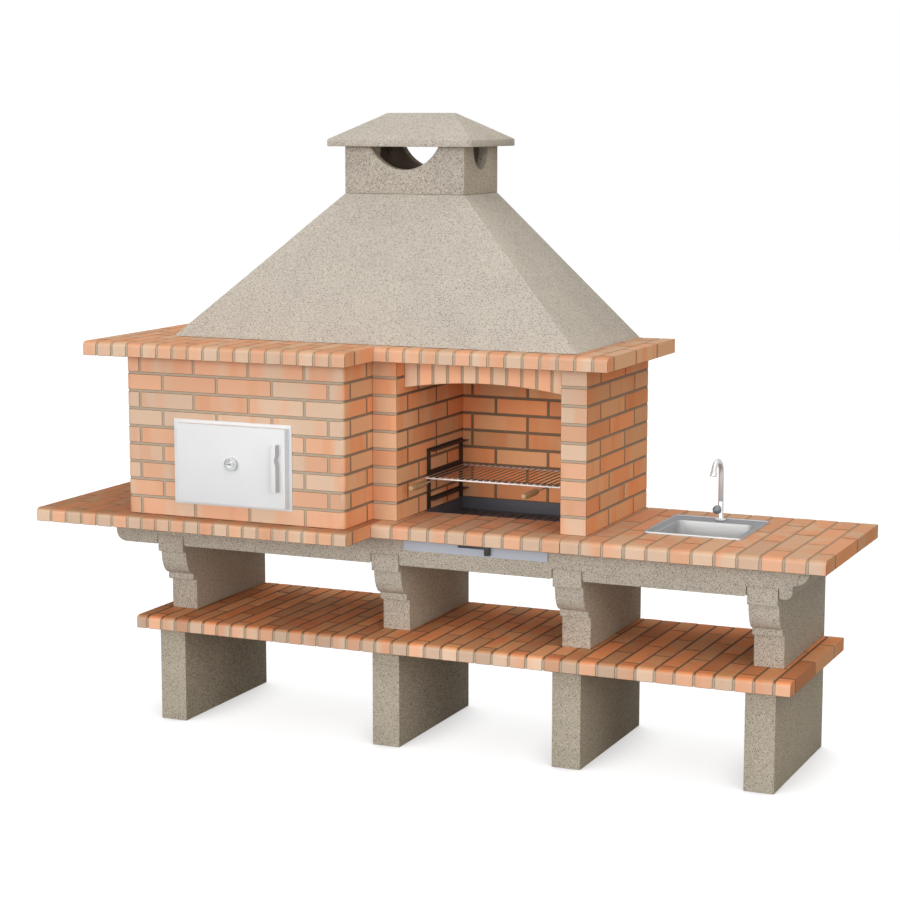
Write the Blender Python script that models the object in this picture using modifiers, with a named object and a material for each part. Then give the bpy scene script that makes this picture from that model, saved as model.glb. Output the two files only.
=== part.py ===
"""Outdoor masonry barbecue: brick and concrete oven, charcoal grill and sink. Metres, +Z up, front at -Y."""

import math

import bmesh
import bpy
from mathutils import Matrix, Vector

# Clearances and fine modelling values
GAP = 0.0003
OVERRUN = 0.02
STEEL_SHEET = 0.003
ARC_STEPS = 6
ROUND_SIDES = 24
WIRE_SIDES = 8

# Legs and lower shelf
LEG_THICKNESS = 0.110
LEG_1_INSET = 0.354
LEG_2_INSET = 0.008
LEG_3_INSET = 0.1273
LEG_4_INSET = 0.299
LOWER_LEG_HEIGHT = 0.374
LOWER_LEG_DEPTH = 0.650
SHELF_THICKNESS = 0.049
SHELF_DEPTH = 0.736
SHELF_LEFT_OVERHANG = 0.052
SHELF_RIGHT_OVERHANG = 0.074
NOSE_RADIUS = 0.018

# Upper legs with their corbels
UPPER_LEG_HEIGHT = 0.304
SHAFT_DEPTH = 0.553
CORBEL_REACH = 0.101
TOP_BLOCK_HEIGHT = 0.064
TOP_BLOCK_STEP = 0.021
OVOLO_REACH = 0.053
OVOLO_HEIGHT = 0.095
FILLET_HEIGHT = 0.026

# Support slab under the worktop
SLAB_THICKNESS = 0.114
SOCKET_DEPTH = 0.037
SOCKET_JOINT = 0.003
SLAB_LEFT_OVERHANG = 0.187
SLAB_END_RADIUS = 0.042
LOBE_WIDTH = 0.051
LOBE_HEIGHT = 0.050
LOBE_RADIUS = 0.028
CROWN_OVOLO_REACH = 0.057
CROWN_OVOLO_HEIGHT = 0.046

# Worktop
WORKTOP_SINK_LENGTH = 0.9515
WORKTOP_DEPTH = 0.748
WORKTOP_OVEN_DEPTH = 0.946
WORKTOP_OVEN_STEP = 0.0345
WORKTOP_GRILL_STEP = 0.0648
WORKTOP_THICKNESS = 0.050

# Brick walls of the oven and the grill
WALL_HEIGHT = 0.592
OVEN_INSET = 0.020
OVEN_WIDTH = 0.900
OVEN_DEPTH = 0.887
OVEN_WALL = 0.110
SIDE_WALL = 0.099
BACK_WALL = 0.059
GRILL_DEPTH = 0.656
GRILL_WIDTH = 0.637
LINTEL_RECESS = 0.063
LINTEL_THICKNESS = 0.100
LINTEL_END_HEIGHT = 0.107
LINTEL_RISE = 0.028

# Oven chamber behind the door
OVEN_FLOOR_THICKNESS = 0.065
VAULT_SIDE_GAP = 0.012
VAULT_WALL = 0.045
VAULT_SPRING = 0.080
VAULT_RISE = 0.260
VAULT_BACK = 0.040
FLUE_DIAMETER = 0.120
FLUE_WALL = 0.0015
FLUE_SETBACK = 0.290
FLUE_HEIGHT = 0.300

# Oven door
DOOR_FRAME_WIDTH = 0.488
DOOR_FRAME_HEIGHT = 0.315
DOOR_MIDDLE_SHARE = 0.49667
DOOR_FRAME_RAISE = 0.051
DOOR_FRAME_PLATE = 0.004
DOOR_FRAME_LIP = 0.036
SLEEVE_DEPTH = 0.100
DOOR_THICKNESS = 0.030
DOOR_SHEET = 0.002
DOOR_LEFT_MARGIN = 0.029
DOOR_MARGIN = 0.012
HINGE_SETOFF = 0.010
HINGE_RADIUS = 0.006
HINGE_LENGTH = 0.026
HINGE_END_SPACE = 0.045
HANDLE_LENGTH = 0.172
HANDLE_WIDTH = 0.0185
HANDLE_REACH = 0.029
HANDLE_SHEET = 0.003
HANDLE_KINK = 0.006
HANDLE_KINK_RUN = 0.018
HANDLE_FROM_EDGE = 0.023
HANDLE_RAISE = 0.0045
DIAL_DIAMETER = 0.050
DIAL_DEPTH = 0.018
DIAL_RIM = 0.003
DIAL_RIGHT = 0.0065
DIAL_RAISE = 0.007
NEEDLE_LENGTH = 0.016
NEEDLE_WIDTH = 0.0024
NEEDLE_THICKNESS = 0.0008
DIAL_PLATE = 0.001
GLASS_THICKNESS = 0.0015
NEEDLE_CLEARANCE = 0.0012

# Cornice, hood, stack and cap
CORNICE_THICKNESS = 0.052
CORNICE_DEPTH = 0.738
CORNICE_OVEN_DEPTH = 0.964
CORNICE_RIGHT_OVERHANG = 0.1037
CORNICE_STEP_OVERHANG = 0.043
CORNICE_LEFT_OVERHANG = 0.137
HOOD_INSET = 0.212
HOOD_RIGHT_INSET = 0.138
HOOD_DEPTH = 0.668
HOOD_HEIGHT = 0.532
HOOD_WALL = 0.040
STACK_INSET = 0.554
STACK_WIDTH = 0.490
STACK_DEPTH = 0.322
STACK_HEIGHT = 0.176
STACK_WALL = 0.040
FRONT_VENT_WIDTH = 0.280
SIDE_VENT_WIDTH = 0.143
VENT_HEIGHT = 0.086
CAP_OVERHANG = 0.050
CAP_EAVE = 0.026
CAP_SLOPE_HEIGHT = 0.098
CAP_SLOPE_RUN_X = 0.155
CAP_SLOPE_RUN_Y = 0.205

# Ember tray and ash drawer
TRAY_DEPTH = 0.364
TRAY_CLEARANCE = 0.001
TRAY_SLOTS = 15
TRAY_SLOT_WIDTH = 0.010
TRAY_SLOT_MARGIN = 0.030
DRAWER_WIDTH = 0.569
DRAWER_HEIGHT = 0.055
DRAWER_LENGTH = 0.560
DRAWER_CLEARANCE = 0.0015
DRAWER_FROM_LEG = 0.020
DRAWER_SHEET = 0.002
DRAWER_TOP_SPACE = 0.008
DRAWER_HANDLE_LENGTH = 0.122
DRAWER_HANDLE_BAR = 0.007
DRAWER_HANDLE_REACH = 0.018
DRAWER_BRACKET_WIDTH = 0.019
DRAWER_BRACKET_HEIGHT = 0.026
DRAWER_HANDLE_LEFT = 0.226
DRAWER_HANDLE_DROP = 0.021

# Rack supports and grill rack
ANGLE_LEG = 0.030
SUPPORT_FRONT = 0.098
SUPPORT_LENGTH = 0.330
SUPPORT_FOOT = 0.002
LEDGE_1_RAISE = 0.0465
LEDGE_2_RAISE = 0.149
LEDGE_3_RAISE = 0.233
LEDGE_LIP = 0.010
SCREW_DIAMETER = 0.012
SCREW_HEAD = 0.004
RACK_SIDE_CLEARANCE = 0.005
RACK_LENGTH = 0.356
RACK_FRONT = 0.070
RACK_BAR = 0.007
RACK_WIRE = 0.0045
RACK_WIRES = 25
RACK_WIRE_OVERHANG = 0.004
WELD_SINK = 0.001
ROD_DIAMETER = 0.006
ROD_INTO_RACK = 0.045
ROD_REACH = 0.070
LEFT_ROD_INSET = 0.034
RIGHT_ROD_INSET = 0.143
GRIP_LENGTH = 0.135
GRIP_DIAMETER = 0.024
GRIP_END_DIAMETER = 0.018

# Sink and tap
SINK_WIDTH = 0.360
SINK_LENGTH = 0.375
SINK_MIDDLE_SHARE = 0.42512
SINK_FROM_FRONT = 0.243
SINK_FLANGE = 0.003
BOWL_LEFT_LEDGE = 0.029
BOWL_RIGHT_LEDGE = 0.045
BOWL_FRONT_LEDGE = 0.022
BOWL_BACK_LEDGE = 0.083
BOWL_DEPTH = 0.135
BOWL_WALL = 0.002
BOWL_CORNER = 0.045
SINK_CORNER = 0.012
SINK_HOLE_CLEARANCE = 0.006
SINK_HOLE_BACK = 0.068
DRAIN_HOLE = 0.052
STRAINER_DIAMETER = 0.075
STRAINER_FLANGE = 0.002
DRAIN_TAIL_DIAMETER = 0.040
DRAIN_TAIL_LENGTH = 0.055
TAP_FROM_LEFT = 0.181
TAP_FROM_BACK = 0.033
TAP_BASE_DIAMETER = 0.040
TAP_BASE_HEIGHT = 0.006
TAP_BODY_DIAMETER = 0.0215
TAP_BODY_HEIGHT = 0.070
TAP_TAIL_DIAMETER = 0.020
TAP_TAIL_LENGTH = 0.045
TAP_NUT_WIDTH = 0.032
TAP_NUT_HEIGHT = 0.010
SPOUT_DIAMETER = 0.0205
SPOUT_RISE = 0.105
SPOUT_BEND = 0.048
SPOUT_TIP_DIAMETER = 0.0245
SPOUT_TIP_LENGTH = 0.014
SPOUT_END_ANGLE = math.radians(172)
KNOB_DIAMETER = 0.033
KNOB_REACH = 0.046
KNOB_STEM_DIAMETER = 0.010
KNOB_RAISE = 0.045

# Places worked out from the sizes above
WORKTOP_OVEN_LENGTH = LEG_1_INSET + OVEN_INSET + OVEN_WIDTH + WORKTOP_OVEN_STEP
GRILL_LENGTH = GAP + 2 * SIDE_WALL + GRILL_WIDTH
WORKTOP_GRILL_LENGTH = GRILL_LENGTH - WORKTOP_OVEN_STEP - WORKTOP_GRILL_STEP
LEFT = -(WORKTOP_OVEN_LENGTH + WORKTOP_GRILL_LENGTH + WORKTOP_SINK_LENGTH) / 2
BACK = (CORNICE_OVEN_DEPTH - CAP_OVERHANG) / 2
OVEN_LEFT = LEFT + LEG_1_INSET + OVEN_INSET
OVEN_RIGHT = OVEN_LEFT + OVEN_WIDTH
GRILL_LEFT = OVEN_RIGHT + GAP
FIRE_LEFT = GRILL_LEFT + SIDE_WALL
FIRE_RIGHT = FIRE_LEFT + GRILL_WIDTH
GRILL_RIGHT = FIRE_RIGHT + SIDE_WALL
LEG_LEFTS = [
    LEFT + LEG_1_INSET,
    OVEN_RIGHT - LEG_2_INSET,
    GRILL_RIGHT - LEG_3_INSET,
    -LEFT - LEG_4_INSET,
]
SHELF_BOTTOM = LOWER_LEG_HEIGHT + GAP
SHELF_TOP = SHELF_BOTTOM + SHELF_THICKNESS
UPPER_LEG_BOTTOM = SHELF_TOP + GAP
UPPER_LEG_TOP = UPPER_LEG_BOTTOM + UPPER_LEG_HEIGHT
SLAB_BOTTOM = UPPER_LEG_TOP + GAP - SOCKET_DEPTH
SLAB_TOP = SLAB_BOTTOM + SLAB_THICKNESS
SLAB_FRONT = BACK - SHAFT_DEPTH - CORBEL_REACH
WORKTOP_BOTTOM = SLAB_TOP + GAP
WORKTOP_TOP = WORKTOP_BOTTOM + WORKTOP_THICKNESS
WORKTOP_FRONT = BACK - WORKTOP_DEPTH
WALL_BOTTOM = WORKTOP_TOP + GAP
WALL_TOP = WALL_BOTTOM + WALL_HEIGHT
OVEN_FRONT = BACK - OVEN_DEPTH
GRILL_FRONT = BACK - GRILL_DEPTH
FIRE_BACK = BACK - BACK_WALL
CORNICE_BOTTOM = WALL_TOP + GAP
CORNICE_TOP = CORNICE_BOTTOM + CORNICE_THICKNESS
CORNICE_LEFT = OVEN_LEFT - CORNICE_LEFT_OVERHANG
CORNICE_RIGHT = GRILL_RIGHT + CORNICE_RIGHT_OVERHANG
CORNICE_STEP = OVEN_RIGHT + CORNICE_STEP_OVERHANG


def fresh_collection(name):
    """A new collection of the scene."""
    collection = bpy.data.collections.new(name)
    bpy.context.scene.collection.children.link(collection)
    return collection


for old in list(bpy.data.objects):
    bpy.data.objects.remove(old, do_unlink=True)
PARTS = fresh_collection("masonry_barbecue")
CUTTERS = fresh_collection("cutters")


def material(name, color, roughness, metallic=0.0, transmission=0.0):
    """A plain Principled material."""
    made = bpy.data.materials.new(name)
    made.use_nodes = True
    shader = made.node_tree.nodes["Principled BSDF"]
    shader.inputs["Base Color"].default_value = (*color, 1.0)
    shader.inputs["Roughness"].default_value = roughness
    shader.inputs["Metallic"].default_value = metallic
    shader.inputs["Transmission Weight"].default_value = transmission
    return made


CONCRETE = material("leg_concrete", (0.40, 0.36, 0.30), 0.9)
HOOD_CONCRETE = material("hood_concrete", (0.52, 0.47, 0.40), 0.9)
BRICK = material("facing_brick", (0.70, 0.40, 0.24), 0.85)
REFRACTORY = material("refractory", (0.62, 0.52, 0.42), 0.9)
WHITE_STEEL = material("white_steel", (0.82, 0.82, 0.81), 0.35)
BLACK_STEEL = material("black_steel", (0.02, 0.02, 0.02), 0.5, 0.6)
TRAY_STEEL = material("tray_steel", (0.07, 0.075, 0.09), 0.5, 0.6)
ZINC_STEEL = material("zinc_steel", (0.40, 0.42, 0.48), 0.4, 0.7)
CHROME = material("chrome", (0.85, 0.85, 0.84), 0.12, 1.0)
STAINLESS = material("stainless", (0.68, 0.69, 0.70), 0.25, 1.0)
WOOD = material("grip_wood", (0.52, 0.36, 0.20), 0.6)
DIAL_WHITE = material("dial_white", (0.85, 0.85, 0.85), 0.5)
NEEDLE_BLACK = material("needle_black", (0.05, 0.05, 0.05), 0.5)
DIAL_GLASS = material("dial_glass", (0.95, 0.97, 0.98), 0.05, 0.0, 1.0)
KNOB_GREY = material("knob_grey", (0.16, 0.18, 0.19), 0.35)


def place(obj, look=None, parent=None):
    """Puts an object in the parts, or in the cutters when it has no look."""
    for collection in list(obj.users_collection):
        collection.objects.unlink(obj)
    (PARTS if look else CUTTERS).objects.link(obj)
    if look:
        obj.data.materials.clear()
        obj.data.materials.append(look)
    else:
        obj.hide_render = True
        obj.display_type = "WIRE"
    if parent:
        obj.parent = parent
        obj.matrix_parent_inverse = Matrix.Translation(parent.location).inverted()
    return obj


def axis_point(name, location):
    """An empty on a joint's axis, which the moving pieces hang from."""
    empty = bpy.data.objects.new(name, None)
    empty.location = location
    empty.empty_display_size = LEG_THICKNESS
    PARTS.objects.link(empty)
    return empty


def box(name, low, high, look=None, parent=None):
    """A block between two corners, with its origin at its centre."""
    low, high = Vector(low), Vector(high)
    mesh = bpy.data.meshes.new(name)
    bm = bmesh.new()
    bmesh.ops.create_cube(bm, size=1.0)
    bmesh.ops.scale(bm, vec=high - low, verts=bm.verts)
    bm.to_mesh(mesh)
    bm.free()
    obj = bpy.data.objects.new(name, mesh)
    obj.location = (low + high) / 2
    return place(obj, look, parent)


PLANES = {
    "XZ": (math.pi / 2, 0, 0),
    "YZ": (math.pi / 2, 0, math.pi / 2),
    "XY": (0, 0, 0),
}


def prism(name, outlines, thickness, plane, depth_at, look=None, parent=None):
    """A flat outline in a plane, as thick as given about depth_at; more outlines are holes."""
    curve = bpy.data.curves.new(name, "CURVE")
    curve.dimensions = "2D"
    curve.fill_mode = "BOTH"
    curve.extrude = thickness / 2
    for outline in outlines:
        spline = curve.splines.new("POLY")
        spline.points.add(len(outline) - 1)
        for point, (a, b) in zip(spline.points, outline):
            point.co = (a, b, 0, 1)
        spline.use_cyclic_u = True
    guide = bpy.data.objects.new(name + "_outline", curve)
    guide.rotation_euler = PLANES[plane]
    guide.location = {"XZ": (0, depth_at, 0), "YZ": (depth_at, 0, 0), "XY": (0, 0, depth_at)}[plane]
    CUTTERS.objects.link(guide)
    bpy.context.view_layer.update()
    graph = bpy.context.evaluated_depsgraph_get()
    mesh = bpy.data.meshes.new_from_object(guide.evaluated_get(graph))
    bm = bmesh.new()
    bm.from_mesh(mesh)
    bmesh.ops.remove_doubles(bm, verts=bm.verts, dist=GAP / 10)
    bmesh.ops.recalc_face_normals(bm, faces=bm.faces)
    bmesh.ops.transform(bm, matrix=guide.matrix_world, verts=bm.verts)
    bm.to_mesh(mesh)
    bm.free()
    obj = bpy.data.objects.new(name, mesh)
    bpy.data.objects.remove(guide, do_unlink=True)
    return place(obj, look, parent)


def cylinder(name, start, end, diameter, look=None, parent=None, sides=ROUND_SIDES, end_diameter=None):
    """A round bar between two points."""
    start, end = Vector(start), Vector(end)
    mesh = bpy.data.meshes.new(name)
    bm = bmesh.new()
    bmesh.ops.create_cone(
        bm,
        cap_ends=True,
        segments=sides,
        radius1=diameter / 2,
        radius2=(end_diameter or diameter) / 2,
        depth=(end - start).length,
    )
    turn = (end - start).to_track_quat("Z", "Y").to_matrix().to_4x4()
    bmesh.ops.transform(bm, matrix=turn, verts=bm.verts)
    bm.to_mesh(mesh)
    bm.free()
    obj = bpy.data.objects.new(name, mesh)
    obj.location = (start + end) / 2
    return place(obj, look, parent)


def frustum(name, low, high, top_low, top_high, look=None):
    """A block whose top face has its own corners, for the sloping hood and its inside."""
    obj = box(name, low, high, look)
    middle = obj.location.copy()
    for vertex in obj.data.vertices:
        if vertex.co.z > 0:
            vertex.co.x = (top_low[0] if vertex.co.x < 0 else top_high[0]) - middle.x
            vertex.co.y = (top_low[1] if vertex.co.y < 0 else top_high[1]) - middle.y
    return obj


def turned(name, profile, location, look, parent=None, turn=(0, 0, 0)):
    """A solid of revolution about its own Z from (radius, height) points that run down the outer side."""
    mesh = bpy.data.meshes.new(name)
    bm = bmesh.new()
    rim = [bm.verts.new((radius, 0, height)) for radius, height in profile]
    for a, b in zip(rim, rim[1:]):
        bm.edges.new((a, b))
    bm.to_mesh(mesh)
    bm.free()
    obj = bpy.data.objects.new(name, mesh)
    obj.location = location
    obj.rotation_euler = turn
    screw = obj.modifiers.new("turning", "SCREW")
    screw.steps = screw.render_steps = ROUND_SIDES
    screw.use_merge_vertices = True
    screw.merge_threshold = GAP / 10
    return place(obj, look, parent)


def shape_with(obj, other, operation):
    """Cuts the other object from this one, or joins it to this one."""
    boolean = obj.modifiers.new(operation.lower(), "BOOLEAN")
    boolean.operation = operation
    boolean.solver = "EXACT"
    boolean.object = other
    return obj


def cut(obj, *others):
    """Takes several cutters from an object."""
    for other in others:
        shape_with(obj, other, "DIFFERENCE")
    return obj


def join(obj, *others):
    """Joins several helper shapes to an object."""
    for other in others:
        shape_with(obj, other, "UNION")
    return obj


def arc(center, radius_a, radius_b, start, end, steps=ARC_STEPS):
    """Points of an ellipse arc about a centre, from one angle to another."""
    return [
        (
            center[0] + radius_a * math.cos(start + (end - start) * i / steps),
            center[1] + radius_b * math.sin(start + (end - start) * i / steps),
        )
        for i in range(steps + 1)
    ]


def rounded_rectangle(low, high, radius):
    """The outline of a rectangle with round corners."""
    quarter = math.pi / 2
    corners = [
        ((high[0] - radius, low[1] + radius), -quarter),
        ((high[0] - radius, high[1] - radius), 0),
        ((low[0] + radius, high[1] - radius), quarter),
        ((low[0] + radius, low[1] + radius), 2 * quarter),
    ]
    points = []
    for center, start in corners:
        points += arc(center, radius, radius, start, start + quarter)
    return points


def nosed_slab(name, left, right, front, back, bottom, top, look):
    """A course of pavers whose top front edge is rounded, drawn from the side."""
    radius = min(NOSE_RADIUS, (top - bottom) / 2)
    outline = [(back, bottom), (back, top)]
    outline += arc((front + radius, top - radius), radius, radius, math.pi / 2, math.pi)
    outline.append((front, bottom))
    return prism(name, [outline], right - left, "YZ", (left + right) / 2, look)


# Lower legs: plain concrete blocks
for number, left in enumerate(LEG_LEFTS, 1):
    box(
        f"lower_leg_{number}",
        (left, BACK - LOWER_LEG_DEPTH, 0),
        (left + LEG_THICKNESS, BACK, LOWER_LEG_HEIGHT),
        CONCRETE,
    )

# Lower shelf of pavers across all four legs
LAST_LEG_RIGHT = LEG_LEFTS[3] + LEG_THICKNESS
nosed_slab(
    "lower_shelf",
    LEG_LEFTS[0] - SHELF_LEFT_OVERHANG,
    LAST_LEG_RIGHT + SHELF_RIGHT_OVERHANG,
    BACK - SHELF_DEPTH,
    BACK,
    SHELF_BOTTOM,
    SHELF_TOP,
    BRICK,
)

# Upper legs: shaft, fillet, quarter-round and top block, drawn from the side
SHAFT_FRONT = BACK - SHAFT_DEPTH
BLOCK_BOTTOM = UPPER_LEG_TOP - TOP_BLOCK_HEIGHT
OVOLO_FRONT = SLAB_FRONT + TOP_BLOCK_STEP
FILLET_FRONT = OVOLO_FRONT + OVOLO_REACH
FILLET_TOP = BLOCK_BOTTOM - OVOLO_HEIGHT
corbel = [(BACK, UPPER_LEG_BOTTOM), (BACK, UPPER_LEG_TOP), (SLAB_FRONT, UPPER_LEG_TOP)]
corbel.append((SLAB_FRONT, BLOCK_BOTTOM))
corbel += arc((FILLET_FRONT, BLOCK_BOTTOM), OVOLO_REACH, OVOLO_HEIGHT, math.pi, 1.5 * math.pi)
corbel.append((FILLET_FRONT, FILLET_TOP - FILLET_HEIGHT))
corbel.append((SHAFT_FRONT, FILLET_TOP - FILLET_HEIGHT))
corbel.append((SHAFT_FRONT, UPPER_LEG_BOTTOM))
for number, left in enumerate(LEG_LEFTS, 1):
    prism(f"upper_leg_{number}", [corbel], LEG_THICKNESS, "YZ", left + LEG_THICKNESS / 2, CONCRETE)

# Support slab: three concrete lengths that meet over the inner legs, drawn from the front
SLAB_LEFT = LEG_LEFTS[0] - SLAB_LEFT_OVERHANG
LOBE_RIGHT = LAST_LEG_RIGHT + LOBE_WIDTH
LOBE_TOP = SLAB_BOTTOM + LOBE_HEIGHT
SLAB_RIGHT = LOBE_RIGHT + CROWN_OVOLO_REACH
LEFT_JOINT = LEG_LEFTS[1] + LEG_THICKNESS / 2
RIGHT_JOINT = LEG_LEFTS[2] + LEG_THICKNESS / 2
left_outline = [(LEFT_JOINT, SLAB_BOTTOM), (LEFT_JOINT, SLAB_TOP), (SLAB_LEFT, SLAB_TOP)]
left_outline += arc(
    (SLAB_LEFT + SLAB_END_RADIUS, SLAB_BOTTOM + SLAB_END_RADIUS),
    SLAB_END_RADIUS,
    SLAB_END_RADIUS,
    math.pi,
    1.5 * math.pi,
)
middle_outline = [
    (LEFT_JOINT + GAP, SLAB_BOTTOM),
    (RIGHT_JOINT - GAP, SLAB_BOTTOM),
    (RIGHT_JOINT - GAP, SLAB_TOP),
    (LEFT_JOINT + GAP, SLAB_TOP),
]
right_outline = [(SLAB_RIGHT, SLAB_TOP), (RIGHT_JOINT, SLAB_TOP), (RIGHT_JOINT, SLAB_BOTTOM)]
right_outline += arc(
    (LOBE_RIGHT - LOBE_RADIUS, SLAB_BOTTOM + LOBE_RADIUS), LOBE_RADIUS, LOBE_RADIUS, -math.pi / 2, 0
)
right_outline += arc(
    (LOBE_RIGHT, LOBE_TOP + CROWN_OVOLO_HEIGHT),
    CROWN_OVOLO_REACH,
    CROWN_OVOLO_HEIGHT,
    -math.pi / 2,
    0,
)
slab_left, slab_middle, slab_right = [
    prism(
        f"support_slab_{side}",
        [outline],
        BACK - SLAB_FRONT,
        "XZ",
        (SLAB_FRONT + BACK) / 2,
        CONCRETE,
    )
    for side, outline in (
        ("left", left_outline),
        ("middle", middle_outline),
        ("right", right_outline),
    )
]
sockets = [
    box(
        f"leg_socket_{number}",
        (left - SOCKET_JOINT, SLAB_FRONT - OVERRUN, SLAB_BOTTOM - OVERRUN),
        (left + LEG_THICKNESS + SOCKET_JOINT, BACK + OVERRUN, SLAB_BOTTOM + SOCKET_DEPTH),
    )
    for number, left in enumerate(LEG_LEFTS, 1)
]
cut(slab_left, *sockets[:2])
cut(slab_middle, *sockets[1:3])
cut(slab_right, *sockets[2:])

# Worktop of pavers in three lengths, the oven's one deeper
OVEN_TOP_RIGHT = LEFT + WORKTOP_OVEN_LENGTH
GRILL_TOP_RIGHT = OVEN_TOP_RIGHT + WORKTOP_GRILL_LENGTH
worktop_oven = nosed_slab(
    "worktop_oven",
    LEFT,
    OVEN_TOP_RIGHT,
    BACK - WORKTOP_OVEN_DEPTH,
    BACK,
    WORKTOP_BOTTOM,
    WORKTOP_TOP,
    BRICK,
)
worktop_grill = nosed_slab(
    "worktop_grill",
    OVEN_TOP_RIGHT + GAP,
    GRILL_TOP_RIGHT,
    WORKTOP_FRONT,
    BACK,
    WORKTOP_BOTTOM,
    WORKTOP_TOP,
    BRICK,
)
worktop_sink = nosed_slab(
    "worktop_sink",
    GRILL_TOP_RIGHT + GAP,
    -LEFT,
    WORKTOP_FRONT,
    BACK,
    WORKTOP_BOTTOM,
    WORKTOP_TOP,
    BRICK,
)
TRAY_FRONT = FIRE_BACK - TRAY_DEPTH
tray_hole = box(
    "tray_hole",
    (FIRE_LEFT, TRAY_FRONT, WORKTOP_BOTTOM - OVERRUN),
    (FIRE_RIGHT, FIRE_BACK, WORKTOP_TOP + OVERRUN),
)
cut(worktop_grill, tray_hole)

# Drawer slot in the slab, open at the front and at the top
DRAWER_LEFT = LEG_LEFTS[1] + LEG_THICKNESS + DRAWER_FROM_LEG
DRAWER_RIGHT = DRAWER_LEFT + DRAWER_WIDTH
DRAWER_BOTTOM = SLAB_TOP - DRAWER_HEIGHT
drawer_slot = box(
    "drawer_slot",
    (DRAWER_LEFT, SLAB_FRONT - OVERRUN, DRAWER_BOTTOM),
    (DRAWER_RIGHT, SLAB_FRONT + DRAWER_LENGTH, SLAB_TOP + OVERRUN),
)

# Hole for the sink through the worktop and the slab
SINK_MIDDLE = GRILL_TOP_RIGHT + SINK_MIDDLE_SHARE * WORKTOP_SINK_LENGTH
SINK_RIGHT = SINK_MIDDLE + SINK_WIDTH / 2
SINK_LEFT = SINK_RIGHT - SINK_WIDTH
SINK_FRONT = WORKTOP_FRONT + SINK_FROM_FRONT
SINK_BACK = SINK_FRONT + SINK_LENGTH
BOWL_LOW = (SINK_LEFT + BOWL_LEFT_LEDGE, SINK_FRONT + BOWL_FRONT_LEDGE)
BOWL_HIGH = (SINK_RIGHT - BOWL_RIGHT_LEDGE, SINK_BACK - BOWL_BACK_LEDGE)
sink_hole = box(
    "sink_hole",
    (
        BOWL_LOW[0] - BOWL_WALL - SINK_HOLE_CLEARANCE,
        BOWL_LOW[1] - BOWL_WALL - SINK_HOLE_CLEARANCE,
        SLAB_BOTTOM - OVERRUN,
    ),
    (
        BOWL_HIGH[0] + BOWL_WALL + SINK_HOLE_CLEARANCE,
        BOWL_HIGH[1] + SINK_HOLE_BACK,
        WORKTOP_TOP + OVERRUN,
    ),
)
cut(worktop_sink, sink_hole)
cut(slab_middle, drawer_slot)
cut(slab_right, sink_hole)

# Oven walls of facing brick
DOOR_MIDDLE = OVEN_LEFT + DOOR_MIDDLE_SHARE * OVEN_WIDTH
DOOR_FRAME_LEFT = DOOR_MIDDLE - DOOR_FRAME_WIDTH / 2
DOOR_FRAME_RIGHT = DOOR_FRAME_LEFT + DOOR_FRAME_WIDTH
DOOR_FRAME_BOTTOM = WALL_BOTTOM + DOOR_FRAME_RAISE
DOOR_FRAME_TOP = DOOR_FRAME_BOTTOM + DOOR_FRAME_HEIGHT
OPENING_LOW = (DOOR_FRAME_LEFT + DOOR_FRAME_LIP, DOOR_FRAME_BOTTOM + DOOR_FRAME_LIP)
OPENING_HIGH = (DOOR_FRAME_RIGHT - DOOR_FRAME_LIP, DOOR_FRAME_TOP - DOOR_FRAME_LIP)
oven_front_wall = box(
    "oven_front_wall",
    (OVEN_LEFT, OVEN_FRONT, WALL_BOTTOM),
    (OVEN_RIGHT, OVEN_FRONT + OVEN_WALL, WALL_TOP),
    BRICK,
)
door_opening = box(
    "door_opening",
    (OPENING_LOW[0], OVEN_FRONT - OVERRUN, OPENING_LOW[1]),
    (OPENING_HIGH[0], OVEN_FRONT + OVEN_WALL + OVERRUN, OPENING_HIGH[1]),
)
cut(oven_front_wall, door_opening)
SIDE_FRONT = OVEN_FRONT + OVEN_WALL + GAP
OVEN_INNER_LEFT = OVEN_LEFT + OVEN_WALL
OVEN_INNER_RIGHT = OVEN_RIGHT - SIDE_WALL
box(
    "oven_left_wall",
    (OVEN_LEFT, SIDE_FRONT, WALL_BOTTOM),
    (OVEN_INNER_LEFT, BACK, WALL_TOP),
    BRICK,
)
box(
    "oven_right_wall",
    (OVEN_INNER_RIGHT, SIDE_FRONT, WALL_BOTTOM),
    (OVEN_RIGHT, BACK, WALL_TOP),
    BRICK,
)
box(
    "oven_back_wall",
    (OVEN_INNER_LEFT + GAP, FIRE_BACK, WALL_BOTTOM),
    (OVEN_INNER_RIGHT - GAP, BACK, WALL_TOP),
    BRICK,
)

# Oven chamber: floor tiles, vault and its back, centred on the door
VAULT_MIDDLE = DOOR_MIDDLE
VAULT_HALF = VAULT_MIDDLE - OVEN_LEFT - OVEN_WALL - VAULT_SIDE_GAP - VAULT_WALL
OVEN_FLOOR_BOTTOM = WALL_BOTTOM
OVEN_FLOOR_TOP = OVEN_FLOOR_BOTTOM + OVEN_FLOOR_THICKNESS
VAULT_BOTTOM = OVEN_FLOOR_TOP + GAP
SPRING = VAULT_BOTTOM + VAULT_SPRING
VAULT_BACK_FRONT = FIRE_BACK - GAP - VAULT_BACK
box(
    "oven_floor",
    (VAULT_MIDDLE - VAULT_HALF - VAULT_WALL, SIDE_FRONT, OVEN_FLOOR_BOTTOM),
    (VAULT_MIDDLE + VAULT_HALF + VAULT_WALL, FIRE_BACK - GAP, OVEN_FLOOR_TOP),
    REFRACTORY,
)
outer_arch = arc(
    (VAULT_MIDDLE, SPRING), VAULT_HALF + VAULT_WALL, VAULT_RISE + VAULT_WALL, 0, math.pi, 2 * ARC_STEPS
)
inner_arch = arc((VAULT_MIDDLE, SPRING), VAULT_HALF, VAULT_RISE, math.pi, 0, 2 * ARC_STEPS)
arch_ring = [(VAULT_MIDDLE + VAULT_HALF + VAULT_WALL, VAULT_BOTTOM)] + outer_arch
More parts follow.
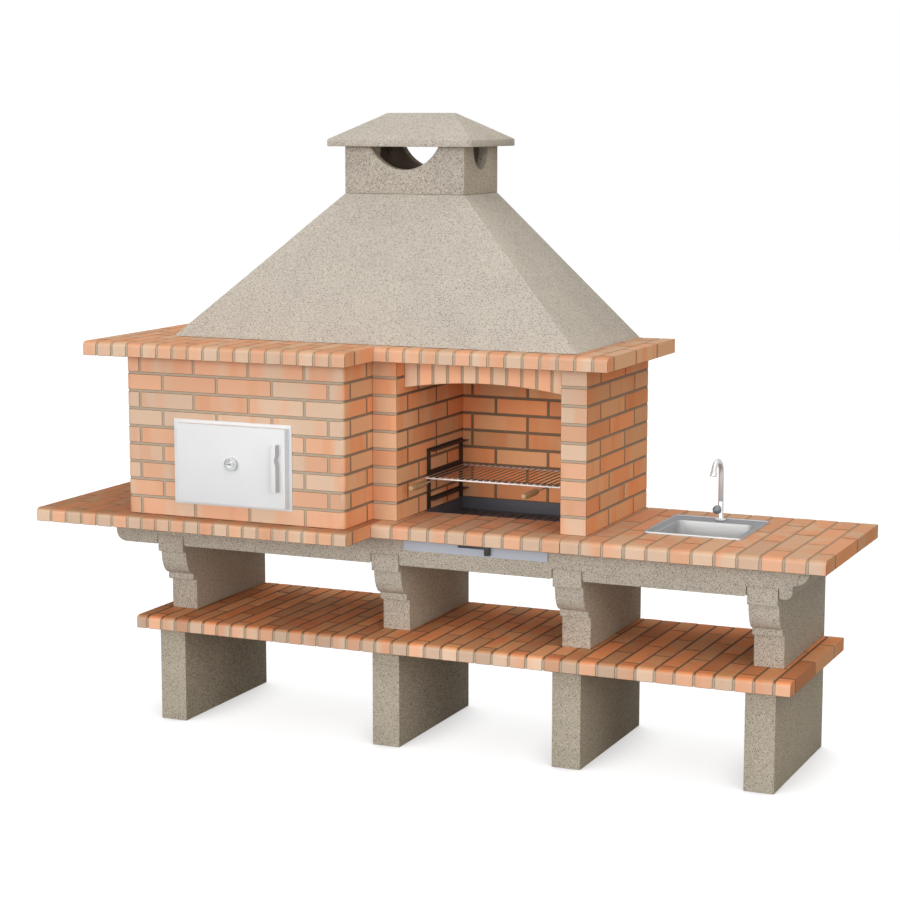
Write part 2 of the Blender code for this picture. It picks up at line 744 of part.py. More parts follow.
arch_ring.append((VAULT_MIDDLE - VAULT_HALF - VAULT_WALL, VAULT_BOTTOM))
arch_ring.append((VAULT_MIDDLE - VAULT_HALF, VAULT_BOTTOM))
arch_ring += inner_arch
arch_ring.append((VAULT_MIDDLE + VAULT_HALF, VAULT_BOTTOM))
VAULT_END = VAULT_BACK_FRONT - GAP
oven_vault = prism(
    "oven_vault",
    [arch_ring],
    VAULT_END - SIDE_FRONT,
    "XZ",
    (SIDE_FRONT + VAULT_END) / 2,
    REFRACTORY,
)
back_outline = [(VAULT_MIDDLE + VAULT_HALF + VAULT_WALL, VAULT_BOTTOM)] + outer_arch
back_outline.append((VAULT_MIDDLE - VAULT_HALF - VAULT_WALL, VAULT_BOTTOM))
prism(
    "oven_vault_back",
    [back_outline],
    VAULT_BACK,
    "XZ",
    VAULT_BACK_FRONT + VAULT_BACK / 2,
    REFRACTORY,
)

# Flue pipe from the vault's crown through the cornice into the hood
FLUE_Y = SIDE_FRONT + FLUE_SETBACK
FLUE_BOTTOM = SPRING + VAULT_RISE
FLUE_TOP = FLUE_BOTTOM + FLUE_HEIGHT
flue_hole = cylinder(
    "flue_hole",
    (VAULT_MIDDLE, FLUE_Y, SPRING),
    (VAULT_MIDDLE, FLUE_Y, CORNICE_TOP + OVERRUN),
    FLUE_DIAMETER + 2 * GAP,
)
cut(oven_vault, flue_hole)
oven_flue = cylinder(
    "oven_flue",
    (VAULT_MIDDLE, FLUE_Y, FLUE_BOTTOM),
    (VAULT_MIDDLE, FLUE_Y, FLUE_TOP),
    FLUE_DIAMETER,
    ZINC_STEEL,
)
flue_bore = cylinder(
    "flue_bore",
    (VAULT_MIDDLE, FLUE_Y, FLUE_BOTTOM - OVERRUN),
    (VAULT_MIDDLE, FLUE_Y, FLUE_TOP + OVERRUN),
    FLUE_DIAMETER - 2 * FLUE_WALL,
)
cut(oven_flue, flue_bore)

# Grill walls: the side walls' front ends are the two pillars
box(
    "grill_left_wall",
    (GRILL_LEFT, GRILL_FRONT, WALL_BOTTOM),
    (FIRE_LEFT, BACK, WALL_TOP),
    BRICK,
)
box(
    "grill_right_wall",
    (FIRE_RIGHT, GRILL_FRONT, WALL_BOTTOM),
    (GRILL_RIGHT, BACK, WALL_TOP),
    BRICK,
)
box(
    "grill_back_wall",
    (FIRE_LEFT + GAP, FIRE_BACK + GAP, WALL_BOTTOM),
    (FIRE_RIGHT - GAP, BACK, WALL_TOP),
    BRICK,
)

# Lintel: bricks on end between the pillars, with a segment arch below
LINTEL_FRONT = GRILL_FRONT + LINTEL_RECESS
LINTEL_LEFT = FIRE_LEFT + GAP
LINTEL_RIGHT = FIRE_RIGHT - GAP
half_span = (LINTEL_RIGHT - LINTEL_LEFT) / 2
arch_radius = (half_span**2 + LINTEL_RISE**2) / (2 * LINTEL_RISE)
half_angle = math.asin(half_span / arch_radius)
arch_center = (
    (LINTEL_LEFT + LINTEL_RIGHT) / 2,
    WALL_TOP - LINTEL_END_HEIGHT + LINTEL_RISE - arch_radius,
)
lintel_outline = [(LINTEL_LEFT, WALL_TOP), (LINTEL_RIGHT, WALL_TOP)][::-1]
lintel_outline += arc(
    arch_center,
    arch_radius,
    arch_radius,
    math.pi / 2 + half_angle,
    math.pi / 2 - half_angle,
    2 * ARC_STEPS,
)
prism(
    "grill_lintel",
    [lintel_outline],
    LINTEL_THICKNESS,
    "XZ",
    LINTEL_FRONT + LINTEL_THICKNESS / 2,
    BRICK,
)

# Door frame: a flat plate on the brick face with a sleeve into the opening
FRAME_BACK = OVEN_FRONT - GAP
FRAME_FRONT = FRAME_BACK - DOOR_FRAME_PLATE
door_frame = box(
    "oven_door_frame",
    (DOOR_FRAME_LEFT, FRAME_FRONT, DOOR_FRAME_BOTTOM),
    (DOOR_FRAME_RIGHT, FRAME_BACK, DOOR_FRAME_TOP),
    WHITE_STEEL,
)
sleeve = box(
    "frame_sleeve",
    (OPENING_LOW[0] + GAP, FRAME_FRONT + GAP, OPENING_LOW[1] + GAP),
    (OPENING_HIGH[0] - GAP, FRAME_BACK + SLEEVE_DEPTH, OPENING_HIGH[1] - GAP),
)
sleeve_bore = box(
    "frame_sleeve_bore",
    (OPENING_LOW[0] + STEEL_SHEET, FRAME_FRONT - OVERRUN, OPENING_LOW[1] + STEEL_SHEET),
    (
        OPENING_HIGH[0] - STEEL_SHEET,
        FRAME_BACK + SLEEVE_DEPTH + OVERRUN,
        OPENING_HIGH[1] - STEEL_SHEET,
    ),
)
join(door_frame, sleeve)
cut(door_frame, sleeve_bore)

# Oven door: a folded pan that lifts off two hinge pins on its left edge
DOOR_LEFT = DOOR_FRAME_LEFT + DOOR_LEFT_MARGIN
DOOR_RIGHT = DOOR_FRAME_RIGHT - DOOR_MARGIN
DOOR_BOTTOM = DOOR_FRAME_BOTTOM + DOOR_MARGIN
DOOR_TOP = DOOR_FRAME_TOP - DOOR_MARGIN
DOOR_BACK = FRAME_FRONT - GAP
DOOR_FRONT = DOOR_BACK - DOOR_THICKNESS
HINGE_X = DOOR_LEFT - HINGE_SETOFF
HINGE_Y = DOOR_BACK - DOOR_THICKNESS / 2
door_axis = axis_point("oven_door_axis", (HINGE_X, HINGE_Y, DOOR_BOTTOM))
oven_door = box(
    "oven_door",
    (DOOR_LEFT, DOOR_FRONT, DOOR_BOTTOM),
    (DOOR_RIGHT, DOOR_BACK, DOOR_TOP),
    WHITE_STEEL,
    door_axis,
)
door_pocket = box(
    "door_pocket",
    (DOOR_LEFT + DOOR_SHEET, DOOR_FRONT + DOOR_SHEET, DOOR_BOTTOM + DOOR_SHEET),
    (DOOR_RIGHT - DOOR_SHEET, DOOR_BACK + OVERRUN, DOOR_TOP - DOOR_SHEET),
    None,
    door_axis,
)
cut(oven_door, door_pocket)
panel_space = DOOR_SHEET + GAP
box(
    "door_inner_panel",
    (DOOR_LEFT + panel_space, DOOR_BACK - DOOR_SHEET, DOOR_BOTTOM + panel_space),
    (DOOR_RIGHT - panel_space, DOOR_BACK, DOOR_TOP - panel_space),
    ZINC_STEEL,
    door_axis,
)
for end, foot in (("lower", DOOR_BOTTOM + HINGE_END_SPACE), ("upper", DOOR_TOP - HINGE_END_SPACE)):
    pin = cylinder(
        f"hinge_pin_{end}",
        (HINGE_X, HINGE_Y, foot - HINGE_LENGTH),
        (HINGE_X, HINGE_Y, foot),
        2 * HINGE_RADIUS,
    )
    lug = box(
        f"hinge_lug_{end}",
        (HINGE_X - HINGE_RADIUS / 2, HINGE_Y, foot - HINGE_LENGTH + GAP),
        (HINGE_X + HINGE_RADIUS / 2, FRAME_FRONT + DOOR_FRAME_PLATE / 2, foot - GAP),
    )
    join(door_frame, pin, lug)
    knuckle = cylinder(
        f"door_knuckle_{end}",
        (HINGE_X, HINGE_Y, foot + GAP),
        (HINGE_X, HINGE_Y, foot + GAP + HINGE_LENGTH),
        2 * HINGE_RADIUS,
        None,
        door_axis,
    )
    web = box(
        f"door_web_{end}",
        (HINGE_X, HINGE_Y - HINGE_RADIUS / 2, foot + 2 * GAP),
        (DOOR_LEFT + DOOR_SHEET / 2, HINGE_Y + HINGE_RADIUS / 2, foot + HINGE_LENGTH),
        None,
        door_axis,
    )
    join(oven_door, knuckle, web)

# Pull handle: folded sheet open towards the left, with a finger kink in its upper part
HANDLE_BOTTOM = (DOOR_BOTTOM + DOOR_TOP - HANDLE_LENGTH) / 2 + HANDLE_RAISE
HANDLE_KINK_SHARE = 0.675
HANDLE_BACK = DOOR_FRONT - GAP
HANDLE_FRONT = HANDLE_BACK - HANDLE_REACH
HANDLE_RIGHT = DOOR_RIGHT - HANDLE_FROM_EDGE
handle_top = HANDLE_BOTTOM + HANDLE_LENGTH
kink_at = HANDLE_BOTTOM + HANDLE_KINK_SHARE * HANDLE_LENGTH


def kinked_outline(left, right, bottom, top):
    """A strip in the front plane whose right edge has the kink."""
    return [
        (left, bottom),
        (right, bottom),
        (right, kink_at - HANDLE_KINK_RUN),
        (right - HANDLE_KINK, kink_at),
        (right, kink_at + HANDLE_KINK_RUN),
        (right, top),
        (left, top),
    ]


door_handle = prism(
    "door_handle",
    [kinked_outline(HANDLE_RIGHT - HANDLE_WIDTH, HANDLE_RIGHT, HANDLE_BOTTOM, handle_top)],
    HANDLE_REACH,
    "XZ",
    (HANDLE_FRONT + HANDLE_BACK) / 2,
    WHITE_STEEL,
    door_axis,
)
handle_space = prism(
    "handle_space",
    [
        kinked_outline(
            HANDLE_RIGHT - HANDLE_WIDTH - OVERRUN,
            HANDLE_RIGHT - HANDLE_SHEET,
            HANDLE_BOTTOM - OVERRUN,
            handle_top + OVERRUN,
        )
    ],
    HANDLE_REACH,
    "XZ",
    (HANDLE_FRONT + HANDLE_BACK) / 2 + HANDLE_SHEET,
    None,
    door_axis,
)
cut(door_handle, handle_space)

# Thermometer: a turned case on the door, its dial, needle and glass
DIAL_X = (DOOR_LEFT + DOOR_RIGHT) / 2 + DIAL_RIGHT
DIAL_Z = (DOOR_BOTTOM + DOOR_TOP) / 2 + DIAL_RAISE
CASE_BACK = DOOR_FRONT - GAP
DIAL_BORE = DIAL_DIAMETER / 2 - DIAL_RIM
case_floor = DIAL_DEPTH - 2 * DIAL_RIM - GLASS_THICKNESS
TURN_FORWARD = (math.pi / 2, 0, 0)
turned(
    "thermometer_case",
    [
        (0, case_floor),
        (DIAL_BORE, case_floor),
        (DIAL_BORE, DIAL_DEPTH),
        (DIAL_DIAMETER / 2, DIAL_DEPTH),
        (DIAL_DIAMETER / 2, 0),
        (0, 0),
    ],
    (DIAL_X, CASE_BACK, DIAL_Z),
    STAINLESS,
    door_axis,
    TURN_FORWARD,
)
dial_back = CASE_BACK - case_floor - GAP
dial_front = dial_back - DIAL_PLATE
cylinder(
    "thermometer_dial",
    (DIAL_X, dial_back, DIAL_Z),
    (DIAL_X, dial_front, DIAL_Z),
    2 * (DIAL_BORE - GAP),
    DIAL_WHITE,
    door_axis,
)
needle_back = dial_front - GAP
needle_front = needle_back - NEEDLE_THICKNESS
needle_axis = axis_point("thermometer_axis", (DIAL_X, needle_back, DIAL_Z))
needle_axis.parent = door_axis
needle_axis.matrix_parent_inverse = Matrix.Translation(door_axis.location).inverted()
needle = cylinder(
    "thermometer_needle",
    (DIAL_X, needle_back, DIAL_Z),
    (DIAL_X, needle_front, DIAL_Z),
    2 * NEEDLE_WIDTH,
    NEEDLE_BLACK,
    None,
    WIRE_SIDES,
)
pointer = box(
    "needle_pointer",
    (DIAL_X - NEEDLE_LENGTH, needle_front, DIAL_Z - NEEDLE_WIDTH / 2),
    (DIAL_X, needle_back, DIAL_Z + NEEDLE_WIDTH / 2),
)
join(needle, pointer)
glass_back = needle_front - NEEDLE_CLEARANCE
cylinder(
    "thermometer_glass",
    (DIAL_X, glass_back, DIAL_Z),
    (DIAL_X, glass_back - GLASS_THICKNESS, DIAL_Z),
    2 * (DIAL_BORE - GAP),
    DIAL_GLASS,
    door_axis,
)

# Cornice: two brick decks, with the smoke opening over the fire and a hole for the flue
cornice_oven = nosed_slab(
    "cornice_oven",
    CORNICE_LEFT,
    CORNICE_STEP,
    BACK - CORNICE_OVEN_DEPTH,
    BACK,
    CORNICE_BOTTOM,
    CORNICE_TOP,
    BRICK,
)
cornice_grill = nosed_slab(
    "cornice_grill",
    CORNICE_STEP + GAP,
    CORNICE_RIGHT,
    BACK - CORNICE_DEPTH,
    BACK,
    CORNICE_BOTTOM,
    CORNICE_TOP,
    BRICK,
)
cut(cornice_oven, flue_hole)
smoke_opening = box(
    "smoke_opening",
    (FIRE_LEFT, LINTEL_FRONT + LINTEL_THICKNESS, CORNICE_BOTTOM - OVERRUN),
    (FIRE_RIGHT - SIDE_WALL, FIRE_BACK, CORNICE_TOP + OVERRUN),
)
cut(cornice_grill, smoke_opening)

# Hood: a hollow concrete pyramid that leans to the chimney, upright at the back
HOOD_LEFT = CORNICE_LEFT + HOOD_INSET
HOOD_RIGHT = CORNICE_RIGHT - HOOD_RIGHT_INSET
HOOD_FRONT = BACK - HOOD_DEPTH
HOOD_BOTTOM = CORNICE_TOP + GAP
HOOD_TOP = HOOD_BOTTOM + HOOD_HEIGHT
STACK_LEFT = HOOD_LEFT + STACK_INSET
STACK_RIGHT = STACK_LEFT + STACK_WIDTH
STACK_FRONT = BACK - STACK_DEPTH
hood = frustum(
    "hood",
    (HOOD_LEFT, HOOD_FRONT, HOOD_BOTTOM),
    (HOOD_RIGHT, BACK, HOOD_TOP),
    (STACK_LEFT, STACK_FRONT),
    (STACK_RIGHT, BACK),
    HOOD_CONCRETE,
)
hood_inside = frustum(
    "hood_inside",
    (HOOD_LEFT + HOOD_WALL, HOOD_FRONT + HOOD_WALL, HOOD_BOTTOM),
    (HOOD_RIGHT - HOOD_WALL, BACK - HOOD_WALL, HOOD_TOP),
    (STACK_LEFT + HOOD_WALL, STACK_FRONT + HOOD_WALL),
    (STACK_RIGHT - HOOD_WALL, BACK - HOOD_WALL),
)
hood_throat = box(
    "hood_throat",
    (STACK_LEFT + HOOD_WALL, STACK_FRONT + HOOD_WALL, HOOD_TOP - OVERRUN),
    (STACK_RIGHT - HOOD_WALL, BACK - HOOD_WALL, HOOD_TOP + OVERRUN),
)
hood_mouth = box(
    "hood_mouth",
    (HOOD_LEFT + HOOD_WALL, HOOD_FRONT + HOOD_WALL, HOOD_BOTTOM - OVERRUN),
    (HOOD_RIGHT - HOOD_WALL, BACK - HOOD_WALL, HOOD_BOTTOM + GAP),
)
cut(hood, hood_inside, hood_throat, hood_mouth)

# Chimney stack: a hollow box with rounded vents that hang from its top edge
STACK_BOTTOM = HOOD_TOP + GAP
STACK_TOP = STACK_BOTTOM + STACK_HEIGHT
stack = box(
    "chimney_stack",
    (STACK_LEFT, STACK_FRONT, STACK_BOTTOM),
    (STACK_RIGHT, BACK, STACK_TOP),
    HOOD_CONCRETE,
)
stack_bore = box(
    "stack_bore",
    (STACK_LEFT + STACK_WALL, STACK_FRONT + STACK_WALL, STACK_BOTTOM - OVERRUN),
    (STACK_RIGHT - STACK_WALL, BACK - STACK_WALL, STACK_TOP + OVERRUN),
)
stack_middle = (STACK_LEFT + STACK_RIGHT) / 2
stack_centre_y = (STACK_FRONT + BACK) / 2
vent_radius = (FRONT_VENT_WIDTH**2 / 4 + VENT_HEIGHT**2) / (2 * VENT_HEIGHT)
vent_centre = (stack_middle, STACK_TOP + vent_radius - VENT_HEIGHT)
front_vents = prism(
    "front_vents",
    [arc(vent_centre, vent_radius, vent_radius, 0, -2 * math.pi, 8 * ARC_STEPS)[:-1]],
    STACK_DEPTH + 2 * OVERRUN,
    "XZ",
    stack_centre_y,
)
side_vents = prism(
    "side_vents",
    [arc((stack_centre_y, STACK_TOP), SIDE_VENT_WIDTH / 2, VENT_HEIGHT, 0, -2 * math.pi, 4 * ARC_STEPS)[:-1]],
    STACK_WIDTH + 2 * OVERRUN,
    "YZ",
    stack_middle,
)
cut(stack, stack_bore, front_vents, side_vents)

# Chimney cap: an eave slab with a low hipped top that ends in a narrow ridge
CAP_BOTTOM = STACK_TOP + GAP
cap_left = STACK_LEFT - CAP_OVERHANG
cap_right = STACK_RIGHT + CAP_OVERHANG
cap_front = STACK_FRONT - CAP_OVERHANG
cap_back = BACK + CAP_OVERHANG
eave_top = CAP_BOTTOM + CAP_EAVE
cap = box(
    "chimney_cap",
    (cap_left, cap_front, CAP_BOTTOM),
    (cap_right, cap_back, eave_top),
    HOOD_CONCRETE,
)
bm = bmesh.new()
bm.from_mesh(cap.data)
bm.faces.ensure_lookup_table()
top = max(bm.faces, key=lambda face: face.calc_center_median().z)
raised = bmesh.ops.extrude_face_region(bm, geom=[top])["geom"]
for vertex in [item for item in raised if isinstance(item, bmesh.types.BMVert)]:
    vertex.co.x -= math.copysign(CAP_SLOPE_RUN_X, vertex.co.x)
    vertex.co.y -= math.copysign(CAP_SLOPE_RUN_Y, vertex.co.y)
    vertex.co.z += CAP_SLOPE_HEIGHT
bmesh.ops.delete(bm, geom=[top], context="FACES")
bmesh.ops.recalc_face_normals(bm, faces=bm.faces)
bm.to_mesh(cap.data)
bm.free()

# Ember tray: a folded sheet box in the worktop's opening, with slots through its floor
TRAY_LEFT = FIRE_LEFT + TRAY_CLEARANCE
TRAY_RIGHT = FIRE_RIGHT - TRAY_CLEARANCE
TRAY_BOTTOM = SLAB_TOP + GAP
tray_front = TRAY_FRONT + TRAY_CLEARANCE
tray_back = FIRE_BACK - TRAY_CLEARANCE
tray = box(
    "ember_tray",
    (TRAY_LEFT, tray_front, TRAY_BOTTOM),
    (TRAY_RIGHT, tray_back, WORKTOP_TOP - GAP),
    TRAY_STEEL,
)
tray_inside = box(
    "tray_inside",
    (TRAY_LEFT + STEEL_SHEET, tray_front + STEEL_SHEET, TRAY_BOTTOM + STEEL_SHEET),
    (TRAY_RIGHT - STEEL_SHEET, tray_back - STEEL_SHEET, WORKTOP_TOP + OVERRUN),
)
cut(tray, tray_inside)
slot_pitch = (TRAY_RIGHT - TRAY_LEFT - 2 * TRAY_SLOT_MARGIN) / TRAY_SLOTS
slot_mesh = bpy.data.meshes.new("tray_slots")
bm = bmesh.new()
for number in range(TRAY_SLOTS):
    middle_x = TRAY_LEFT + TRAY_SLOT_MARGIN + (number + 1 / 2) * slot_pitch
    length_y = tray_back - tray_front - 2 * TRAY_SLOT_MARGIN
    made = bmesh.ops.create_cube(bm, size=1.0)["verts"]
    bmesh.ops.scale(bm, vec=(TRAY_SLOT_WIDTH, length_y, 2 * OVERRUN), verts=made)
    bmesh.ops.translate(
        bm, vec=(middle_x, (tray_front + tray_back) / 2, TRAY_BOTTOM), verts=made
    )
bm.to_mesh(slot_mesh)
bm.free()
cut(tray, place(bpy.data.objects.new("tray_slots", slot_mesh)))

# Ash drawer: an open box that slides in the slab's slot, with a front plate and a bar handle
drawer_axis = axis_point("ash_drawer_axis", ((DRAWER_LEFT + DRAWER_RIGHT) / 2, SLAB_FRONT, DRAWER_BOTTOM))
PLATE_BACK = SLAB_FRONT + STEEL_SHEET
drawer_left = DRAWER_LEFT + DRAWER_CLEARANCE
drawer_right = DRAWER_RIGHT - DRAWER_CLEARANCE
drawer_bottom = DRAWER_BOTTOM + GAP
box(
    "ash_drawer_front",
    (drawer_left, SLAB_FRONT, drawer_bottom),
    (drawer_right, PLATE_BACK, SLAB_TOP - DRAWER_CLEARANCE),
    ZINC_STEEL,
    drawer_axis,
)
drawer_back = SLAB_FRONT + DRAWER_LENGTH - DRAWER_CLEARANCE
drawer_top = SLAB_TOP - DRAWER_TOP_SPACE
drawer_box = box(
    "ash_drawer_box",
    (drawer_left, PLATE_BACK + GAP, drawer_bottom),
    (drawer_right, drawer_back, drawer_top),
    ZINC_STEEL,
    drawer_axis,
)
drawer_inside = box(
    "drawer_inside",
    (drawer_left + DRAWER_SHEET, PLATE_BACK + GAP + DRAWER_SHEET, drawer_bottom + DRAWER_SHEET),
    (drawer_right - DRAWER_SHEET, drawer_back - DRAWER_SHEET, drawer_top + OVERRUN),
    None,
    drawer_axis,
)
cut(drawer_box, drawer_inside)
handle_left = DRAWER_LEFT + DRAWER_HANDLE_LEFT
handle_right = handle_left + DRAWER_HANDLE_LENGTH
handle_z = SLAB_TOP - DRAWER_HANDLE_DROP
handle_back = SLAB_FRONT - GAP
handle_front = handle_back - DRAWER_HANDLE_REACH
drawer_handle = box(
    "ash_drawer_handle",
    (handle_left, handle_front, handle_z - DRAWER_HANDLE_BAR / 2),
    (handle_right, handle_front + DRAWER_HANDLE_BAR, handle_z + DRAWER_HANDLE_BAR / 2),
    BLACK_STEEL,
    drawer_axis,
)
bracket = box(
    "handle_bracket",
    (handle_right - DRAWER_BRACKET_WIDTH, handle_front, handle_z - DRAWER_BRACKET_HEIGHT),
    (handle_right - GAP, handle_back, handle_z + DRAWER_HANDLE_BAR / 2 - GAP),
    None,
    drawer_axis,
)
standoff = box(
    "handle_standoff",
    (handle_left + GAP, handle_front + GAP, handle_z - DRAWER_HANDLE_BAR / 2 + GAP),
    (handle_left + DRAWER_HANDLE_BAR, handle_back, handle_z + DRAWER_HANDLE_BAR / 2 - GAP),
    None,
    drawer_axis,
)
join(drawer_handle, bracket, standoff)


# Rack supports: a frame of angle steel with three ledges on each side wall of the fire
SUPPORT_NEAR = GRILL_FRONT + LINTEL_RECESS + LINTEL_THICKNESS + SUPPORT_FRONT
SUPPORT_FAR = SUPPORT_NEAR + SUPPORT_LENGTH
SUPPORT_BOTTOM = WORKTOP_TOP + SUPPORT_FOOT
LEDGES = [WORKTOP_TOP + LEDGE_1_RAISE, WORKTOP_TOP + LEDGE_2_RAISE, WORKTOP_TOP + LEDGE_3_RAISE]
LEDGE_BACKS = [LEDGE_LIP, ANGLE_LEG, LEDGE_LIP]


def rack_support(side, wall, inward):
    """A flat frame on the wall, with the ledges' flanges turned towards the fire."""
    outer = [
        (SUPPORT_NEAR, SUPPORT_BOTTOM),
        (SUPPORT_FAR, SUPPORT_BOTTOM),
        (SUPPORT_FAR, LEDGES[2]),
        (SUPPORT_NEAR, LEDGES[2]),
    ]
    windows = []
    floors = [SUPPORT_BOTTOM - OVERRUN, LEDGES[0], LEDGES[1]]
    for low, high, back in zip(floors, LEDGES, LEDGE_BACKS):
        windows.append((low, high - back))
    plate_at = wall + inward * (GAP + STEEL_SHEET / 2)
    support = prism(f"rack_support_{side}", [outer], STEEL_SHEET, "YZ", plate_at, BLACK_STEEL)
    for number, (low, high) in enumerate(windows):
        edges = sorted((wall - inward * OVERRUN, wall + inward * (STEEL_SHEET + OVERRUN)))
        window = box(
            f"support_window_{side}_{number}",
            (edges[0], SUPPORT_NEAR + ANGLE_LEG, low),
            (edges[1], SUPPORT_FAR - ANGLE_LEG, high),
        )
        cut(support, window)
    for number, (ledge, back) in enumerate(zip(LEDGES, LEDGE_BACKS)):
        edges = sorted((wall + inward * 2 * GAP, wall + inward * (GAP + ANGLE_LEG)))
        flange = box(
            f"support_flange_{side}_{number}",
            (edges[0], SUPPORT_NEAR + GAP, ledge - back + GAP),
            (edges[1], SUPPORT_FAR - GAP, ledge - back + GAP + STEEL_SHEET),
        )
        join(support, flange)
    head_at = wall + inward * (2 * GAP + STEEL_SHEET)
    screw_z = (LEDGES[0] + LEDGES[1]) / 2
    for end, screw_y in (
        ("front", SUPPORT_NEAR + ANGLE_LEG / 2),
        ("back", SUPPORT_FAR - ANGLE_LEG / 2),
    ):
        cylinder(
            f"rack_screw_{side}_{end}",
            (head_at, screw_y, screw_z),
            (head_at + inward * SCREW_HEAD, screw_y, screw_z),
            SCREW_DIAMETER,
            ZINC_STEEL,
            None,
            WIRE_SIDES,
            SCREW_DIAMETER / 2,
        )
    return support


rack_support("left", FIRE_LEFT, 1)
rack_support("right", FIRE_RIGHT, -1)

# Grill rack: cross bars with long wires laid over them, and two rods for the wooden grips
RACK_LEFT = FIRE_LEFT + GAP + STEEL_SHEET + RACK_SIDE_CLEARANCE
RACK_RIGHT = FIRE_RIGHT - GAP - STEEL_SHEET - RACK_SIDE_CLEARANCE
rack_near = LINTEL_FRONT + LINTEL_THICKNESS + RACK_FRONT
rack_far = rack_near + RACK_LENGTH
LEDGE_TOP = LEDGES[1] - ANGLE_LEG + GAP + STEEL_SHEET
bar_z = LEDGE_TOP + GAP + RACK_BAR / 2
wire_z = bar_z + RACK_BAR / 2 + RACK_WIRE / 2 - WELD_SINK
rod_z = bar_z - RACK_BAR / 2 - ROD_DIAMETER / 2 + WELD_SINK
rack_axis = axis_point("grill_rack_axis", ((RACK_LEFT + RACK_RIGHT) / 2, rack_near, bar_z))


def round_bars(name, bars, look=None, parent=None):
    """Round bars that don't touch each other, in one mesh."""
    mesh = bpy.data.meshes.new(name)
    bm = bmesh.new()
    for start, end, diameter in bars:
        start, end = Vector(start), Vector(end)
        turn = (end - start).to_track_quat("Z", "Y").to_matrix().to_4x4()
        bmesh.ops.create_cone(
            bm,
            cap_ends=True,
            segments=WIRE_SIDES,
            radius1=diameter / 2,
            radius2=diameter / 2,
            depth=(end - start).length,
            matrix=Matrix.Translation((start + end) / 2) @ turn,
        )
    bm.to_mesh(mesh)
    bm.free()
    return place(bpy.data.objects.new(name, mesh), look, parent)


bar_places = [rack_near, rack_far]
cross_bars = [((RACK_LEFT, y, bar_z), (RACK_RIGHT, y, bar_z), RACK_BAR) for y in bar_places]
wire_span = RACK_RIGHT - RACK_LEFT - 2 * RACK_BAR
wire_places = [RACK_LEFT + RACK_BAR + wire_span * i / (RACK_WIRES - 1) for i in range(RACK_WIRES)]
long_wires = [
    (
        (x, rack_near - RACK_WIRE_OVERHANG, wire_z),
        (x, rack_far + RACK_WIRE_OVERHANG, wire_z),
        RACK_WIRE,
    )
    for x in wire_places
]
rod_places = [RACK_LEFT + LEFT_ROD_INSET, RACK_RIGHT - RIGHT_ROD_INSET]
rod_end = rack_near - ROD_REACH
rods = [
    ((x, rack_near + ROD_INTO_RACK, rod_z), (x, rod_end, rod_z), ROD_DIAMETER) for x in rod_places
]
grill_rack = round_bars("grill_rack", cross_bars, CHROME, rack_axis)
join(
    grill_rack,
    round_bars("rack_wires", long_wires, None, rack_axis),
    round_bars("rack_rods", rods, None, rack_axis),
)
for side, x in zip(("left", "right"), rod_places):
    turned(
        f"rack_grip_{side}",
        [
            (0, 0),
            (GRIP_END_DIAMETER / 2, 0),
            (GRIP_DIAMETER / 2, -GRIP_LENGTH / 4),
            (GRIP_DIAMETER / 2, -GRIP_LENGTH * 3 / 4),
            (GRIP_END_DIAMETER / 2, -GRIP_LENGTH),
            (0, -GRIP_LENGTH),
        ],
        (x, rod_end - GAP, rod_z),
        WOOD,
        rack_axis,
        (-math.pi / 2, 0, 0),
    )

# Sink: a bowl with round corners under a flat flange that lies on the worktop
FLANGE_BOTTOM = WORKTOP_TOP + GAP
FLANGE_TOP = FLANGE_BOTTOM + SINK_FLANGE
sink = prism(
    "sink_bowl",
    [rounded_rectangle((SINK_LEFT, SINK_FRONT), (SINK_RIGHT, SINK_BACK), SINK_CORNER)],
    SINK_FLANGE,
    "XY",
    (FLANGE_BOTTOM + FLANGE_TOP) / 2,
    STAINLESS,
)
BOWL_BOTTOM = FLANGE_TOP - BOWL_DEPTH
bowl_outside = prism(
    "bowl_outside",
    [
        rounded_rectangle(
            (BOWL_LOW[0] - BOWL_WALL, BOWL_LOW[1] - BOWL_WALL),
            (BOWL_HIGH[0] + BOWL_WALL, BOWL_HIGH[1] + BOWL_WALL),
            BOWL_CORNER + BOWL_WALL,
        )
    ],
    BOWL_DEPTH + BOWL_WALL - GAP,
    "XY",
    (FLANGE_TOP - GAP + BOWL_BOTTOM - BOWL_WALL) / 2,
)
bowl_inside = prism(
    "bowl_inside",
    [rounded_rectangle(BOWL_LOW, BOWL_HIGH, BOWL_CORNER)],
    BOWL_DEPTH + OVERRUN,
    "XY",
    BOWL_BOTTOM + (BOWL_DEPTH + OVERRUN) / 2,
)
DRAIN_X = (BOWL_LOW[0] + BOWL_HIGH[0]) / 2
DRAIN_Y = (BOWL_LOW[1] + BOWL_HIGH[1]) / 2
drain_hole = cylinder(
    "drain_hole",
    (DRAIN_X, DRAIN_Y, BOWL_BOTTOM - OVERRUN),
    (DRAIN_X, DRAIN_Y, BOWL_BOTTOM + OVERRUN),
    DRAIN_HOLE,
)
TAP_X = SINK_LEFT + TAP_FROM_LEFT
TAP_Y = SINK_BACK - TAP_FROM_BACK
tap_hole = cylinder(
    "tap_hole",
    (TAP_X, TAP_Y, FLANGE_BOTTOM - OVERRUN),
    (TAP_X, TAP_Y, FLANGE_TOP + OVERRUN),
    TAP_TAIL_DIAMETER + 2 * GAP,
)
join(sink, bowl_outside)
cut(sink, bowl_inside, drain_hole, tap_hole)

